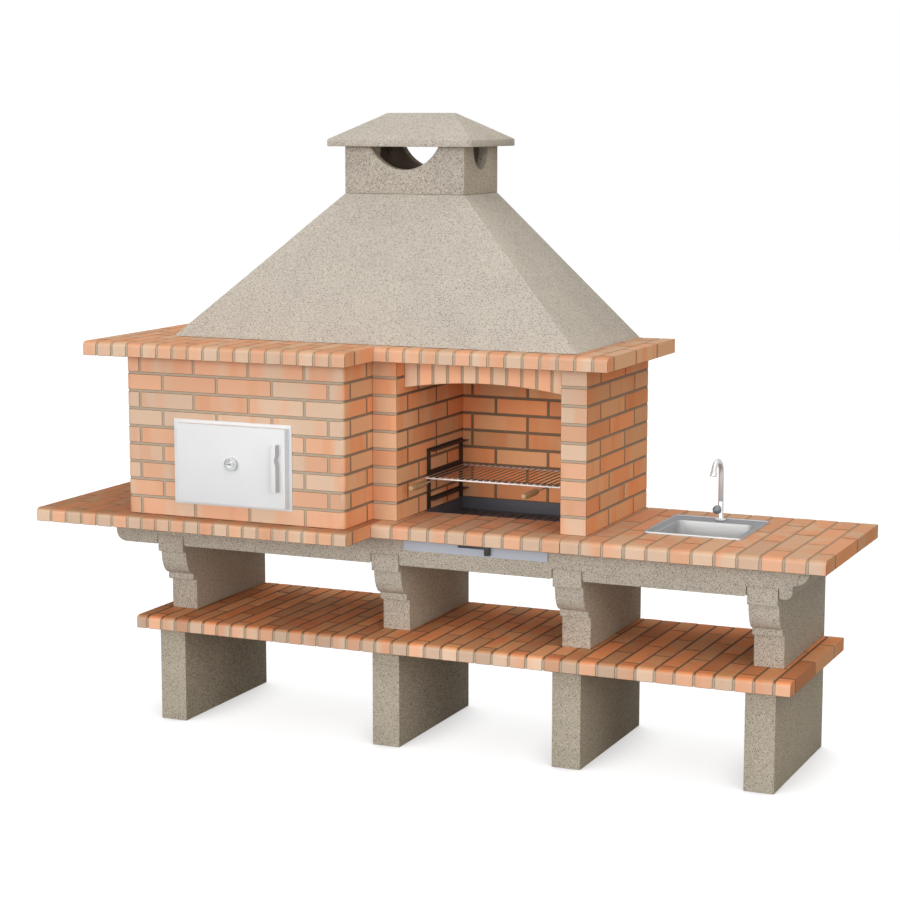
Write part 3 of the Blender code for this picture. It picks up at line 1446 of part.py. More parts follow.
# Sink waste: strainer flange in the bowl, neck through its floor and a short tail
neck = DRAIN_HOLE - 2 * GAP
strainer_bottom = BOWL_BOTTOM + GAP
turned(
    "sink_waste",
    [
        (0, strainer_bottom + STRAINER_FLANGE - STRAINER_FLANGE / 2),
        (DRAIN_TAIL_DIAMETER / 2, strainer_bottom + STRAINER_FLANGE - STRAINER_FLANGE / 2),
        (DRAIN_TAIL_DIAMETER / 2, strainer_bottom + STRAINER_FLANGE),
        (STRAINER_DIAMETER / 2, strainer_bottom + STRAINER_FLANGE),
        (STRAINER_DIAMETER / 2, strainer_bottom),
        (neck / 2, strainer_bottom),
        (neck / 2, BOWL_BOTTOM - BOWL_WALL - DRAIN_TAIL_LENGTH / 4),
        (DRAIN_TAIL_DIAMETER / 2, BOWL_BOTTOM - BOWL_WALL - DRAIN_TAIL_LENGTH / 2),
        (DRAIN_TAIL_DIAMETER / 2, BOWL_BOTTOM - BOWL_WALL - DRAIN_TAIL_LENGTH),
        (0, BOWL_BOTTOM - BOWL_WALL - DRAIN_TAIL_LENGTH),
    ],
    (DRAIN_X, DRAIN_Y, 0),
    STAINLESS,
)

# Tap: body with its tail through the flange, nut below, swivelling gooseneck and turning knob
BODY_BOTTOM = FLANGE_TOP + GAP
BODY_TOP = BODY_BOTTOM + TAP_BODY_HEIGHT
turned(
    "tap_body",
    [
        (0, BODY_TOP),
        (TAP_BODY_DIAMETER / 2, BODY_TOP),
        (TAP_BODY_DIAMETER / 2, BODY_BOTTOM + TAP_BASE_HEIGHT),
        (TAP_BASE_DIAMETER / 2, BODY_BOTTOM + TAP_BASE_HEIGHT / 2),
        (TAP_BASE_DIAMETER / 2, BODY_BOTTOM),
        (TAP_TAIL_DIAMETER / 2, BODY_BOTTOM),
        (TAP_TAIL_DIAMETER / 2, FLANGE_BOTTOM - TAP_TAIL_LENGTH),
        (0, FLANGE_BOTTOM - TAP_TAIL_LENGTH),
    ],
    (TAP_X, TAP_Y, 0),
    CHROME,
)
NUT_TOP = FLANGE_BOTTOM - GAP
tap_nut = cylinder(
    "tap_nut",
    (TAP_X, TAP_Y, NUT_TOP - TAP_NUT_HEIGHT),
    (TAP_X, TAP_Y, NUT_TOP),
    TAP_NUT_WIDTH,
    ZINC_STEEL,
    None,
    len(PLANES) * 2,
)
nut_bore = cylinder(
    "nut_bore",
    (TAP_X, TAP_Y, NUT_TOP - TAP_NUT_HEIGHT - OVERRUN),
    (TAP_X, TAP_Y, NUT_TOP + OVERRUN),
    TAP_TAIL_DIAMETER + 2 * GAP,
)
cut(tap_nut, nut_bore)
spout_axis = axis_point("tap_spout_axis", (TAP_X, TAP_Y, BODY_TOP))
SPOUT_BOTTOM = BODY_TOP + GAP
bend_z = SPOUT_BOTTOM + SPOUT_RISE
spout_curve = bpy.data.curves.new("tap_spout", "CURVE")
spout_curve.dimensions = "3D"
spout_curve.bevel_depth = SPOUT_DIAMETER / 2
spout_curve.bevel_resolution = 4
spout_curve.use_fill_caps = True
route = [(TAP_Y, SPOUT_BOTTOM)]
route += arc((TAP_Y - SPOUT_BEND, bend_z), SPOUT_BEND, SPOUT_BEND, 0, SPOUT_END_ANGLE, 2 * ARC_STEPS)
spline = spout_curve.splines.new("POLY")
spline.points.add(len(route) - 1)
for point, (y, z) in zip(spline.points, route):
    point.co = (TAP_X, y, z, 1)
spout_guide = bpy.data.objects.new("spout_route", spout_curve)
CUTTERS.objects.link(spout_guide)
bpy.context.view_layer.update()
spout_mesh = bpy.data.meshes.new_from_object(
    spout_guide.evaluated_get(bpy.context.evaluated_depsgraph_get())
)
bm = bmesh.new()
bm.from_mesh(spout_mesh)
bmesh.ops.remove_doubles(bm, verts=bm.verts, dist=GAP / 10)
bmesh.ops.recalc_face_normals(bm, faces=bm.faces)
bm.to_mesh(spout_mesh)
bm.free()
bpy.data.objects.remove(spout_guide, do_unlink=True)
spout = place(bpy.data.objects.new("tap_spout", spout_mesh), CHROME, spout_axis)
tip_y, tip_z = route[-1]
heading = Vector((0, tip_y - route[-2][0], tip_z - route[-2][1])).normalized()
tip = Vector((TAP_X, tip_y, tip_z))
spout_tip = cylinder(
    "spout_tip",
    tip - heading * SPOUT_TIP_LENGTH / 2,
    tip + heading * SPOUT_TIP_LENGTH / 2,
    SPOUT_TIP_DIAMETER,
    None,
    spout_axis,
)
join(spout, spout_tip)
knob_z = BODY_BOTTOM + KNOB_RAISE
stem_start = TAP_BODY_DIAMETER / 2 + GAP
knob_axis = axis_point("tap_knob_axis", (TAP_X, TAP_Y, knob_z))
knob_radius = KNOB_DIAMETER / 2
ball = arc((0, KNOB_REACH), knob_radius, knob_radius, math.pi / 2, -math.pi / 2, 2 * ARC_STEPS)
stem_radius = KNOB_STEM_DIAMETER / 2
stem_meets = KNOB_REACH - math.sqrt(knob_radius**2 - stem_radius**2)
knob_profile = [point for point in ball if point[1] > stem_meets or point[0] > stem_radius]
knob_profile[0] = (0, knob_profile[0][1])
knob_profile += [(stem_radius, stem_meets), (stem_radius, stem_start), (0, stem_start)]
turned(
    "tap_knob",
    knob_profile,
    (TAP_X, TAP_Y, knob_z),
    KNOB_GREY,
    knob_axis,
    TURN_FORWARD,
)

# Round pieces are shaded smooth
for name in (
    "oven_flue",
    "thermometer_case",
    "grill_rack",
    "rack_grip_left",
    "rack_grip_right",
    "sink_bowl",
    "sink_waste",
    "tap_body",
    "tap_spout",
    "tap_knob",
):
    piece = bpy.data.objects[name]
    piece.data.shade_smooth()
    piece.data.set_sharp_from_angle(angle=math.radians(35))
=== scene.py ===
"""Looks of an outdoor masonry barbecue: brick, cast concrete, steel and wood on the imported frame.

Metres, +Z up, front at -Y.
"""

import math
import random

import bmesh
import bpy
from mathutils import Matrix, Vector


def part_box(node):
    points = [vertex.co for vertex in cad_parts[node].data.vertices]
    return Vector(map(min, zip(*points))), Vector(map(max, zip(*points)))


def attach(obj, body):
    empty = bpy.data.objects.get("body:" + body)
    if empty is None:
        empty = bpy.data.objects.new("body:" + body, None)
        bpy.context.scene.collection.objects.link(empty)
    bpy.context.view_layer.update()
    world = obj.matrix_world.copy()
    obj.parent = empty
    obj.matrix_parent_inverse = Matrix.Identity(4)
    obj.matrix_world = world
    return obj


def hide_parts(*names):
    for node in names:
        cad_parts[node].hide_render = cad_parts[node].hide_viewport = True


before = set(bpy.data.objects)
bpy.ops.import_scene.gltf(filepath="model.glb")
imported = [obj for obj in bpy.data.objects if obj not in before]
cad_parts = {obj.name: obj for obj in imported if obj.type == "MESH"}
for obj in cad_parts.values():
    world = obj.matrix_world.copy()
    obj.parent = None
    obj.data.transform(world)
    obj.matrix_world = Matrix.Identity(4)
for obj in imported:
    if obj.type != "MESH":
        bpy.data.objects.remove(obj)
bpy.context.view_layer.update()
random.seed(7)

# Lower legs: four plain blocks of cast concrete that stand on the ground.
# The mould leaves their edges a little round, and sand and small stones show
# all over in grey and beige.
LEG_EDGE = 0.0025
WELD = 0.00002
SPECK = 0.00001
FLAT = math.radians(0.5)
SHARP = math.radians(50)
SMOOTH = math.radians(38)
LEG_PASTE = (0.50, 0.44, 0.345)
LEG_LIGHT_STONE = (0.66, 0.60, 0.50)
LEG_DARK_STONE = (0.10, 0.08, 0.058)
# Faces that look left or right are drawn darker: painted shade.
LEG_SIDE_SHADE = (0.95, 0.92, 0.87)
SAND_DIM = (0.90, 0.89, 0.87)
SAND_BRIGHT = (1.09, 1.09, 1.10)
CLOUD_DIM = (0.97, 0.97, 0.97)
CLOUD_BRIGHT = (1.03, 1.03, 1.02)


def add_node(tree, kind, inputs=None, **settings):
    """A shader node with its settings, and its inputs given as values or as the sockets that feed them."""
    made = tree.nodes.new("ShaderNode" + kind)
    for name, value in settings.items():
        setattr(made, name, value)
    for name, value in (inputs or {}).items():
        if isinstance(value, bpy.types.NodeSocket):
            tree.links.new(value, made.inputs[name])
        else:
            made.inputs[name].default_value = value
    return made


def math_of(tree, operation, first, second=0.0, third=0.5):
    """The result of a Math node."""
    return add_node(tree, "Math", {0: first, 1: second, 2: third}, operation=operation).outputs[0]


def product(tree, first, second):
    """Two values multiplied."""
    return math_of(tree, "MULTIPLY", first, second)


def step_of(tree, value, start, end):
    """0 below the start, 1 past the end and smooth between them. They may be given the other way round."""
    inputs = {"Value": value, "From Min": start, "From Max": end}
    made = add_node(tree, "MapRange", inputs, interpolation_type="SMOOTHSTEP")
    return made.outputs["Result"]


def mixed(tree, share, first, second, how="MIX"):
    """The second colour laid over the first by a share."""
    inputs = {0: share, 6: first, 7: second}
    return add_node(tree, "Mix", inputs, data_type="RGBA", blend_type=how).outputs[2]


def tinted(tree, color, tint):
    """A colour multiplied by another."""
    return mixed(tree, 1.0, color, tint, "MULTIPLY")


def axes_of(tree, vector):
    """A vector's X, Y and Z."""
    return add_node(tree, "SeparateXYZ", {0: vector}).outputs


def facing_of(tree):
    """The X, Y and Z of the way that the surface faces."""
    return axes_of(tree, add_node(tree, "NewGeometry").outputs["Normal"])


def place_of(tree):
    """The place on the piece, in metres."""
    return add_node(tree, "TexCoord").outputs["Object"]


def noise_of(tree, where, scale, detail=2.0, shift=None):
    """The value of a Noise texture. A shift moves each piece to its own part of it."""
    inputs = {"Vector": where, "Scale": scale, "Detail": detail}
    if shift is None:
        return add_node(tree, "TexNoise", inputs).outputs["Fac"]
    return add_node(tree, "TexNoise", {**inputs, "W": shift}, noise_dimensions="4D").outputs["Fac"]


def rgba(color):
    """A colour with full cover."""
    return (*color, 1.0)


def gray(tone):
    """A neutral colour with full cover."""
    return (tone, tone, tone, 1.0)


def new_group(name, takes, gives):
    """An empty shader group and its inner ends. takes gives each input's value, a colour or a number."""
    group = bpy.data.node_groups.new(name, "ShaderNodeTree")
    for socket, value in takes.items():
        kind = "NodeSocketColor" if isinstance(value, tuple) else "NodeSocketFloat"
        made = group.interface.new_socket(socket, in_out="INPUT", socket_type=kind)
        made.default_value = value
    for socket in gives:
        kind = "NodeSocketColor" if socket == "Color" else "NodeSocketFloat"
        group.interface.new_socket(socket, in_out="OUTPUT", socket_type=kind)
    start = group.nodes.new("NodeGroupInput")
    end = group.nodes.new("NodeGroupOutput")
    return group, start.outputs, end.inputs


def place_group(tree, group, **values):
    """A group in a material with its own values. An underscore in a name stands for a space."""
    made = tree.nodes.new("ShaderNodeGroup")
    made.node_tree = group
    for name, value in values.items():
        made.inputs[name.replace("_", " ")].default_value = value
    return made.outputs


def new_material(name, roughness=0.5, metallic=0.0, **sockets):
    """A material and its shader, with plain values on the shader's own sockets."""
    material = bpy.data.materials.new(name)
    material.use_nodes = True
    shader = material.node_tree.nodes["Principled BSDF"]
    shader.inputs["Roughness"].default_value = roughness
    shader.inputs["Metallic"].default_value = metallic
    for socket, value in sockets.items():
        shader.inputs[socket.replace("_", " ")].default_value = value
    return material, material.node_tree, shader


def colored(tree, shader, color):
    """Gives a shader its colour."""
    tree.links.new(color, shader.inputs["Base Color"])


def bumped(tree, shader, height, depth, strength=1.0):
    """Gives a shader the relief of a height, deep in metres."""
    inputs = {"Height": height, "Distance": depth, "Strength": strength}
    tree.links.new(add_node(tree, "Bump", inputs).outputs[0], shader.inputs["Normal"])


cast_grain, given, out = new_group(
    "cast_grain",
    {
        "Paste": rgba(LEG_PASTE),
        "Light Stone": rgba(LEG_LIGHT_STONE),
        "Dark Stone": rgba(LEG_DARK_STONE),
        "Stones Per Metre": 270.0,
        "Light Share": 0.3,
        "Dark Share": 0.18,
        "Grit Share": 0.34,
        "Side Tint": gray(1.0),
    },
    ("Color", "Height"),
)
where = place_of(cast_grain)
stones = add_node(cast_grain, "TexVoronoi", {"Vector": where, "Scale": given["Stones Per Metre"]})
draw = add_node(cast_grain, "SeparateColor", {0: stones.outputs["Color"]}).outputs[0]
light = math_of(cast_grain, "LESS_THAN", draw, given["Light Share"])
light = product(cast_grain, light, step_of(cast_grain, stones.outputs["Distance"], 0.62, 0.38))
dark = math_of(cast_grain, "SUBTRACT", 1.0, given["Dark Share"])
dark = math_of(cast_grain, "GREATER_THAN", draw, dark)
dark = product(cast_grain, dark, step_of(cast_grain, stones.outputs["Distance"], 0.50, 0.32))
grit_scale = product(cast_grain, given["Stones Per Metre"], 0.6)
grit = add_node(cast_grain, "TexVoronoi", {"Vector": where, "Scale": grit_scale})
draw = add_node(cast_grain, "SeparateColor", {0: grit.outputs["Color"]}).outputs[1]
chosen = math_of(cast_grain, "LESS_THAN", draw, given["Grit Share"])
chosen = product(cast_grain, chosen, step_of(cast_grain, grit.outputs["Distance"], 0.46, 0.22))
sand = noise_of(cast_grain, where, 460.0)
sandy = mixed(cast_grain, step_of(cast_grain, sand, 0.35, 0.65), rgba(SAND_DIM), rgba(SAND_BRIGHT))
color = mixed(cast_grain, light, tinted(cast_grain, given["Paste"], sandy), given["Light Stone"])
color = mixed(cast_grain, dark, color, given["Dark Stone"])
color = mixed(cast_grain, product(cast_grain, chosen, 0.75), color, given["Dark Stone"])
cloud = step_of(cast_grain, noise_of(cast_grain, where, 7.0, 4.0), 0.3, 0.7)
color = tinted(cast_grain, color, mixed(cast_grain, cloud, rgba(CLOUD_DIM), rgba(CLOUD_BRIGHT)))
# Faces that look left or right take the side tint: painted light and shade.
facing = math_of(cast_grain, "ABSOLUTE", facing_of(cast_grain)["X"])
side = tinted(cast_grain, color, given["Side Tint"])
cast_grain.links.new(mixed(cast_grain, step_of(cast_grain, facing, 0.2, 0.6), color, side), out["Color"])
height = math_of(cast_grain, "MULTIPLY_ADD", stones.outputs["Distance"], -0.6, sand)
cast_grain.links.new(height, out["Height"])


def concrete(name, **values):
    """A material of cast concrete."""
    material, tree, shader = new_material(name, roughness=0.92, Specular_IOR_Level=0.25)
    grain = place_group(tree, cast_grain, **values)
    colored(tree, shader, grain["Color"])
    bumped(tree, shader, grain["Height"], 0.0012, 0.7)
    return material


LEG_CONCRETE = concrete("leg_concrete", Side_Tint=rgba(LEG_SIDE_SHADE))


def copy_of(*nodes, weld=WELD):
    """A merged copy of CAD nodes, with each flat face whole again."""
    bm = bmesh.new()
    for name in nodes:
        bm.from_mesh(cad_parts[name].data)
    bmesh.ops.remove_doubles(bm, verts=bm.verts, dist=weld)
    bmesh.ops.dissolve_limit(bm, angle_limit=FLAT, verts=bm.verts, edges=bm.edges)
    return bm


def rounded(bm, edges, radius, segments, clamp=False):
    """Rounds edges and gives the new faces. clamp keeps each within the room that its neighbours leave."""
    made = bmesh.ops.bevel(
        bm,
        geom=edges,
        offset=radius,
        affect="EDGES",
        segments=segments,
        profile=0.5,
        material=-1,
        clamp_overlap=clamp,
    )
    return made["faces"]


def soften(bm, radius, least=SHARP, shortest=0.0):
    """Rounds each edge over the shortest length whose two faces meet at more than the least angle."""
    edges = [edge for edge in bm.edges if edge.calc_face_angle() > least and edge.calc_length() > shortest]
    rounded(bm, edges, radius, 2, clamp=True)
    bmesh.ops.dissolve_degenerate(bm, dist=SPECK, edges=bm.edges)
    return bm


def finished(name, bm, material, body, slot, *nodes, smooth=SMOOTH):
    """The mesh as a piece that rides on its body and stands for those CAD nodes."""
    mesh = bpy.data.meshes.new(name)
    bm.to_mesh(mesh)
    bm.free()
    mesh.materials.append(material)
    if smooth is not None:
        mesh.polygons.foreach_set("use_smooth", [True] * len(mesh.polygons))
        mesh.set_sharp_from_angle(angle=smooth)
    piece = bpy.data.objects.new(name, mesh)
    bpy.context.collection.objects.link(piece)
    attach(piece, body)
    if nodes:
        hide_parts(*nodes)


def dressed(name, node, material, body, slot, radius, weld=WELD, **choice):
    """A CAD node's shape with its edges rounded. choice goes on to soften."""
    bm = soften(copy_of(node, weld=weld), radius, **choice)
    finished(name, bm, material, body, slot, node)


LEGS = range(1, 5)
for leg in LEGS:
    dressed(f"concrete_foot_{leg}", f"lower_leg_{leg}", LEG_CONCRETE, "masonry", "cast_concrete", LEG_EDGE)

# Lower shelf: fired clay pavers laid front to back in columns, each column
# half a paver on from the next. The front row has a round nose, and the
# joints are filled with beige mortar a little below the faces.
JOINT = 0.0078
JOINT_RECESS = 0.0016
BRICK_EDGE = 0.0019
NOSE = 0.017
NEAR = 0.0015
SUNK = 0.0007
LEAST_CUT = 0.004
LEAST_BRICK = 0.018
SHELF_JOINTS = ((-1.148, 0.0608, 16), (-0.1795, 0.0662, 12), (0.6135, 0.0711, 11))
SHELF_FRONT_PAVER = 0.060
SHELF_PAVER = 0.265
SAND_CLAY = (0.70, 0.50, 0.36)
ORANGE_CLAY = (0.745, 0.42, 0.265)
DEEP_CLAY = (0.71, 0.335, 0.185)
# Tints for faces that look to the front, up and aside are painted light and shade; the edge tint is painted
# shade along the joints.
FRONT_TINT = (1.08, 1.07, 1.06)
TOP_TINT = (0.96, 0.82, 0.69)
SIDE_TINT = (1.30, 1.04, 0.77)
END_SHADE = (0.95, 0.70, 0.48)
SHELF_TOP_SHADE = (1.12, 0.735, 0.455)
SHELF_END_SHADE = (0.84, 0.58, 0.38)
EDGE_SHADE_TINT = (0.46, 0.37, 0.29)
# The mortar's top, shelf and side colours are painted shade beside its front colour.
FRONT_MORTAR = (0.50, 0.415, 0.315)
TOP_MORTAR = (0.41, 0.285, 0.18)
SHELF_MORTAR = (0.22, 0.135, 0.08)
SIDE_MORTAR = (0.33, 0.25, 0.175)
FINE_DIM = (0.975, 0.97, 0.965)
FINE_BRIGHT = (1.02, 1.022, 1.025)
GRIT_DIM = (0.85, 0.85, 0.84)
GRIT_BRIGHT = (1.12, 1.12, 1.12)

fired_clay, given, out = new_group(
    "fired_clay",
    {
        "Sand": rgba(SAND_CLAY),
        "Orange": rgba(ORANGE_CLAY),
        "Deep": rgba(DEEP_CLAY),
        "Front Tint": rgba(FRONT_TINT),
        "Top Tint": rgba(TOP_TINT),
        "Side Tint": rgba(SIDE_TINT),
        "Spread": 0.06,
    },
    ("Color", "Height"),
)
where = place_of(fired_clay)
upright = add_node(fired_clay, "Mapping", {"Vector": where, "Scale": (1.0, 1.0, 0.15)}).outputs[0]
tone = add_node(fired_clay, "Attribute", attribute_name="tone").outputs["Fac"]
edge_shade = add_node(fired_clay, "Attribute", attribute_name="edge").outputs["Fac"]
own = product(fired_clay, tone, 61.0)
lean = math_of(fired_clay, "MULTIPLY_ADD", tone, 0.40, -0.20)
patch = math_of(fired_clay, "ADD", noise_of(fired_clay, upright, 9.0, 0.5, own), lean)
color = mixed(fired_clay, step_of(fired_clay, patch, 0.43, 0.57), given["Sand"], given["Orange"])
burnt = noise_of(fired_clay, upright, 12.0, 1.0, math_of(fired_clay, "ADD", own, 9.0))
burnt = product(fired_clay, step_of(fired_clay, burnt, 0.54, 0.68), 0.5)
color = mixed(fired_clay, burnt, color, given["Deep"])
fine = noise_of(fired_clay, where, 240.0, 3.0)
grain = mixed(fired_clay, step_of(fired_clay, fine, 0.3, 0.7), rgba(FINE_DIM), rgba(FINE_BRIGHT))
color = tinted(fired_clay, color, grain)
# Tints by the way a face looks, to the front, up or aside: painted light and shade.
facing = facing_of(fired_clay)
front = step_of(fired_clay, facing["Y"], -0.3, -0.9)
top = step_of(fired_clay, facing["Z"], 0.3, 0.9)
tint = mixed(fired_clay, front, given["Side Tint"], given["Front Tint"])
color = tinted(fired_clay, color, mixed(fired_clay, top, tint, given["Top Tint"]))
swing = math_of(fired_clay, "FRACT", product(fired_clay, tone, 7.3))
swing = product(fired_clay, math_of(fired_clay, "SUBTRACT", swing, 0.5), given["Spread"])
swing = math_of(fired_clay, "MULTIPLY_ADD", swing, 2.0, 1.0)
color = tinted(fired_clay, color, add_node(fired_clay, "CombineXYZ", dict.fromkeys("XYZ", swing)).outputs[0])
# Rounded brick edges take painted shade along the joints, weaker where a face looks both aside and up.
beside = step_of(fired_clay, math_of(fired_clay, "ABSOLUTE", facing["X"]), 0.2, 0.5)
beside = product(fired_clay, beside, step_of(fired_clay, facing["Z"], 0.1, 0.4))
edge_shade = product(fired_clay, edge_shade, math_of(fired_clay, "MULTIPLY_ADD", beside, -0.8, 1.0))
darker = tinted(fired_clay, color, rgba(EDGE_SHADE_TINT))
fired_clay.links.new(mixed(fired_clay, edge_shade, color, darker), out["Color"])
fired_clay.links.new(fine, out["Height"])


def clay(name, **values):
    """A material of fired clay."""
    material, tree, shader = new_material(name, roughness=0.86, Specular_IOR_Level=0.3)
    body = place_group(tree, fired_clay, **values)
    colored(tree, shader, body["Color"])
    bumped(tree, shader, body["Height"], 0.0003, 0.4)
    return material


FACING_BRICK = clay("facing_brick")
# The pavers' end, top and side tints are painted light and shade.
PAVER_CLAY = clay("paver_clay", Side_Tint=rgba(END_SHADE), Spread=0.08)
SHELF_CLAY = clay("shelf_clay", Top_Tint=rgba(SHELF_TOP_SHADE), Side_Tint=rgba(SHELF_END_SHADE), Spread=0.24)


def mortar(name, front, side, top):
    """A material of mortar with its own colour for each way that it faces: painted light and shade."""
    material, tree, shader = new_material(name, roughness=0.95, Specular_IOR_Level=0.2)
    fine = noise_of(tree, place_of(tree), 420.0, 3.0)
    facing = facing_of(tree)
    color = mixed(tree, step_of(tree, facing["Y"], -0.3, -0.9), rgba(side), rgba(front))
    color = mixed(tree, step_of(tree, facing["Z"], 0.3, 0.9), color, rgba(top))
    grain = mixed(tree, step_of(tree, fine, 0.3, 0.7), rgba(GRIT_DIM), rgba(GRIT_BRIGHT))
    colored(tree, shader, tinted(tree, color, grain))
    bumped(tree, shader, fine, 0.001, 0.7)
    return material


BEIGE_MORTAR = mortar("beige_mortar", FRONT_MORTAR, SIDE_MORTAR, TOP_MORTAR)
SHADED_MORTAR = mortar("shaded_mortar", FRONT_MORTAR, SIDE_MORTAR, SHELF_MORTAR)


def block(bm, outlines, low, high, tone, along="Z"):
    """A brick from low to high along the Y or Z axis, marked with its own tone.

    The outlines drawn across the axis share corners and grow as one.
    """
    corners = {}
    for point in sum(outlines, []):
        if point not in corners:
            first, second = point
            corners[point] = bm.verts.new((first, low, second) if along == "Y" else (first, second, low))
    base = [bm.faces.new([corners[point] for point in outline]) for outline in outlines]
    grown = bmesh.ops.extrude_face_region(bm, geom=base)["geom"]
    grown = [item for item in grown if isinstance(item, bmesh.types.BMVert)]
    length = high - low
    bmesh.ops.translate(bm, vec=(0, length, 0) if along == "Y" else (0, 0, length), verts=grown)
    made = list(corners.values()) + grown
    if len(outlines) > 1:
        edges = list(dict.fromkeys(edge for vert in made for edge in vert.link_edges))
        bmesh.ops.dissolve_limit(bm, angle_limit=FLAT, verts=made, edges=edges)
    layer = bm.faces.layers.float["tone"]
    for vert in made:
        if vert.is_valid:
            for face in vert.link_faces:
                face[layer] = tone


def brick_mesh():
    """An empty mesh whose faces carry a brick's tone and whether they are a rounded edge, which takes painted
    shade.
    """
    bm = bmesh.new()
    bm.faces.layers.float.new("tone")
    bm.faces.layers.float.new("edge")
    return bm


def laid(name, bm, material, *nodes):
    """Bricks as a piece that stands for those CAD nodes. Their rounded edges are marked for painted shade."""
    edges = [edge for edge in bm.edges if edge.is_manifold and edge.calc_face_angle() > SHARP]
    layer = bm.faces.layers.float["edge"]
    for face in rounded(bm, edges, BRICK_EDGE, 2, clamp=True):
        face.smooth = True
        face[layer] = 1.0
    bmesh.ops.recalc_face_normals(bm, faces=bm.faces)
    finished(name, bm, material, "masonry", "facing_brick", *nodes, smooth=None)


def filled(name, bm, material):
    """Mortar as a piece. It lies between the bricks and stands for no CAD node."""
    bmesh.ops.recalc_face_normals(bm, faces=bm.faces)
    finished(name, bm, material, "masonry", "facing_brick")


def own_tone(turn):
    """A random tone, of the lower half for an even turn and of the upper half for an odd one."""
    return 0.5 * random.random() + 0.5 * (turn % 2)


def rectangle(left, front, right, back):
    """The corners of a rectangle."""
    return [(left, front), (right, front), (right, back), (left, back)]


def resized(area, by):
    """A rectangle made larger on all sides, or smaller where the amount is negative."""
    return area[0] - by, area[1] - by, area[2] + by, area[3] + by


def plan(node):
    """A CAD node's box seen from above, as a rectangle."""
    low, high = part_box(node)
    return low[0], low[1], high[0], high[1]


def box_of(node):
    """The two far corners of a CAD node's box."""
    low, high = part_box(node)
    return Vector(low), Vector(high)


def rest_of(area, hole):
    """What a rectangular hole leaves of a rectangle, as the outlines of cells that share their corners."""
    left, front, right, back = area
    if not hole or hole[0] >= right or hole[2] <= left or hole[1] >= back or hole[3] <= front:
        return [rectangle(*area)]
    across = sorted({left, right, *(x for x in hole[::2] if left < x < right)})
    along = sorted({front, back, *(y for y in hole[1::2] if front < y < back)})
    rest = []
    for left, right in zip(across, across[1:]):
        for front, back in zip(along, along[1:]):
            inside = hole[0] <= left and right <= hole[2] and hole[1] <= front and back <= hole[3]
            if not inside and min(right - left, back - front) > LEAST_CUT:
                rest.append(rectangle(left, front, right, back))
    return rest


def joints_of(*runs):
    """The places of joints laid in runs. A run is its first place, its pitch and its number of joints."""
    return [first + pitch * step for first, pitch, number in runs for step in range(number)]


def cuts_between(start, end, first, pitch):
    """The two ends of a course and its joints between them."""
    spot = first + math.ceil((start + LEAST_BRICK - first) / pitch) * pitch
    cuts = [start]
    while spot < end - LEAST_BRICK:
        cuts.append(spot)
        spot += pitch
    return cuts + [end]


def bed(name, node, hole, material):
    """The mortar between pavers: a slab just inside their faces, with the same nose and hole."""
    low, high = box_of(node)
    bottom, top = low.z + JOINT_RECESS, high.z - JOINT_RECESS
    area = resized(plan(node), -JOINT_RECESS)
    bm = brick_mesh()
    block(bm, rest_of(area, hole and resized(hole, JOINT_RECESS)), bottom, top, 0.0)
    round_nose(bm, area[1], top)
    filled(name, bm, material)


def round_nose(bm, front, top):
    """Rounds the upper front edges."""
    nose = []
    for edge in bm.edges:
        if all(abs(end.co.y - front) < NEAR and abs(end.co.z - top) < NEAR for end in edge.verts):
            nose.append(edge)
    for face in rounded(bm, nose, NOSE, 5):
        face.smooth = True


def pave(name, node, joints, first_paver, paver, hole=None, material=PAVER_CLAY, between=BEIGE_MORTAR):
    """Pavers over a CAD node's box, and the mortar between them.

    first_paver is the front paver's length in the last column, and paver the length of those behind it.
    """
    low, high = box_of(node)
    bm = brick_mesh()
    spots = [low.x] + joints + [high.x]
    columns = len(spots) - 1
    for column in range(columns):
        from_right = columns - 1 - column
        first = low.y + first_paver + (from_right % 2) * paver / 2
        left = spots[column] + (JOINT / 2 if column else 0)
        right = spots[column + 1] - (JOINT / 2 if from_right else 0)
        cuts = cuts_between(low.y, high.y, first, paver)
        for number, (front, back) in enumerate(zip(cuts, cuts[1:])):
            front += JOINT / 2 if number else 0
            back -= JOINT / 2 if back < high.y else 0
            tone = random.random() if number else own_tone(column)
            sink = random.uniform(0, SUNK) if number else 0.0
            outlines = rest_of((left, front, right, back), hole)
            if outlines:
                block(bm, outlines, low.z, high.z - sink, tone)
    round_nose(bm, low.y, high.z)
    laid(name + "_pavers", bm, material, node)
    bed(name + "_mortar", node, hole, between)


joints = joints_of(*SHELF_JOINTS)
pave("shelf", "lower_shelf", joints, SHELF_FRONT_PAVER, SHELF_PAVER, None, SHELF_CLAY, SHADED_MORTAR)

# Upper legs: cast concrete blocks, each with a square head, a quarter-round
# corbel under it and a thin fillet, all cast in one with the shaft. Their paste
# is paler than the feet's, painted light that lifts the shade under the slab
# and worktop, and their sides are darker, painted shade.
SLAB_PASTE = (0.545, 0.49, 0.41)
SLAB_LIGHT_STONE = (0.67, 0.62, 0.535)
SLAB_DARK_STONE = (0.14, 0.115, 0.082)
SLAB_SIDE_SHADE = (0.95, 0.93, 0.87)

SLAB_CONCRETE = concrete(
    "slab_concrete",
    Paste=rgba(SLAB_PASTE),
    Light_Stone=rgba(SLAB_LIGHT_STONE),
    Dark_Stone=rgba(SLAB_DARK_STONE),
    Side_Tint=rgba(SLAB_SIDE_SHADE),
    Stones_Per_Metre=310.0,
)
for leg in LEGS:
    dressed(f"concrete_corbel_{leg}", f"upper_leg_{leg}", SLAB_CONCRETE, "masonry", "cast_concrete", LEG_EDGE)

# Support slab: cast concrete lengths that meet over the middle legs, where
# the joints are rubbed over with the same mix. Sockets take the legs' heads,
# and the mould leaves the slab's lower edges round beside them.
SLAB_JOINT = 0.0005
SOCKET_ROUND = 0.008
SLAB_PARTS = ("support_slab_left", "support_slab_middle", "support_slab_right")

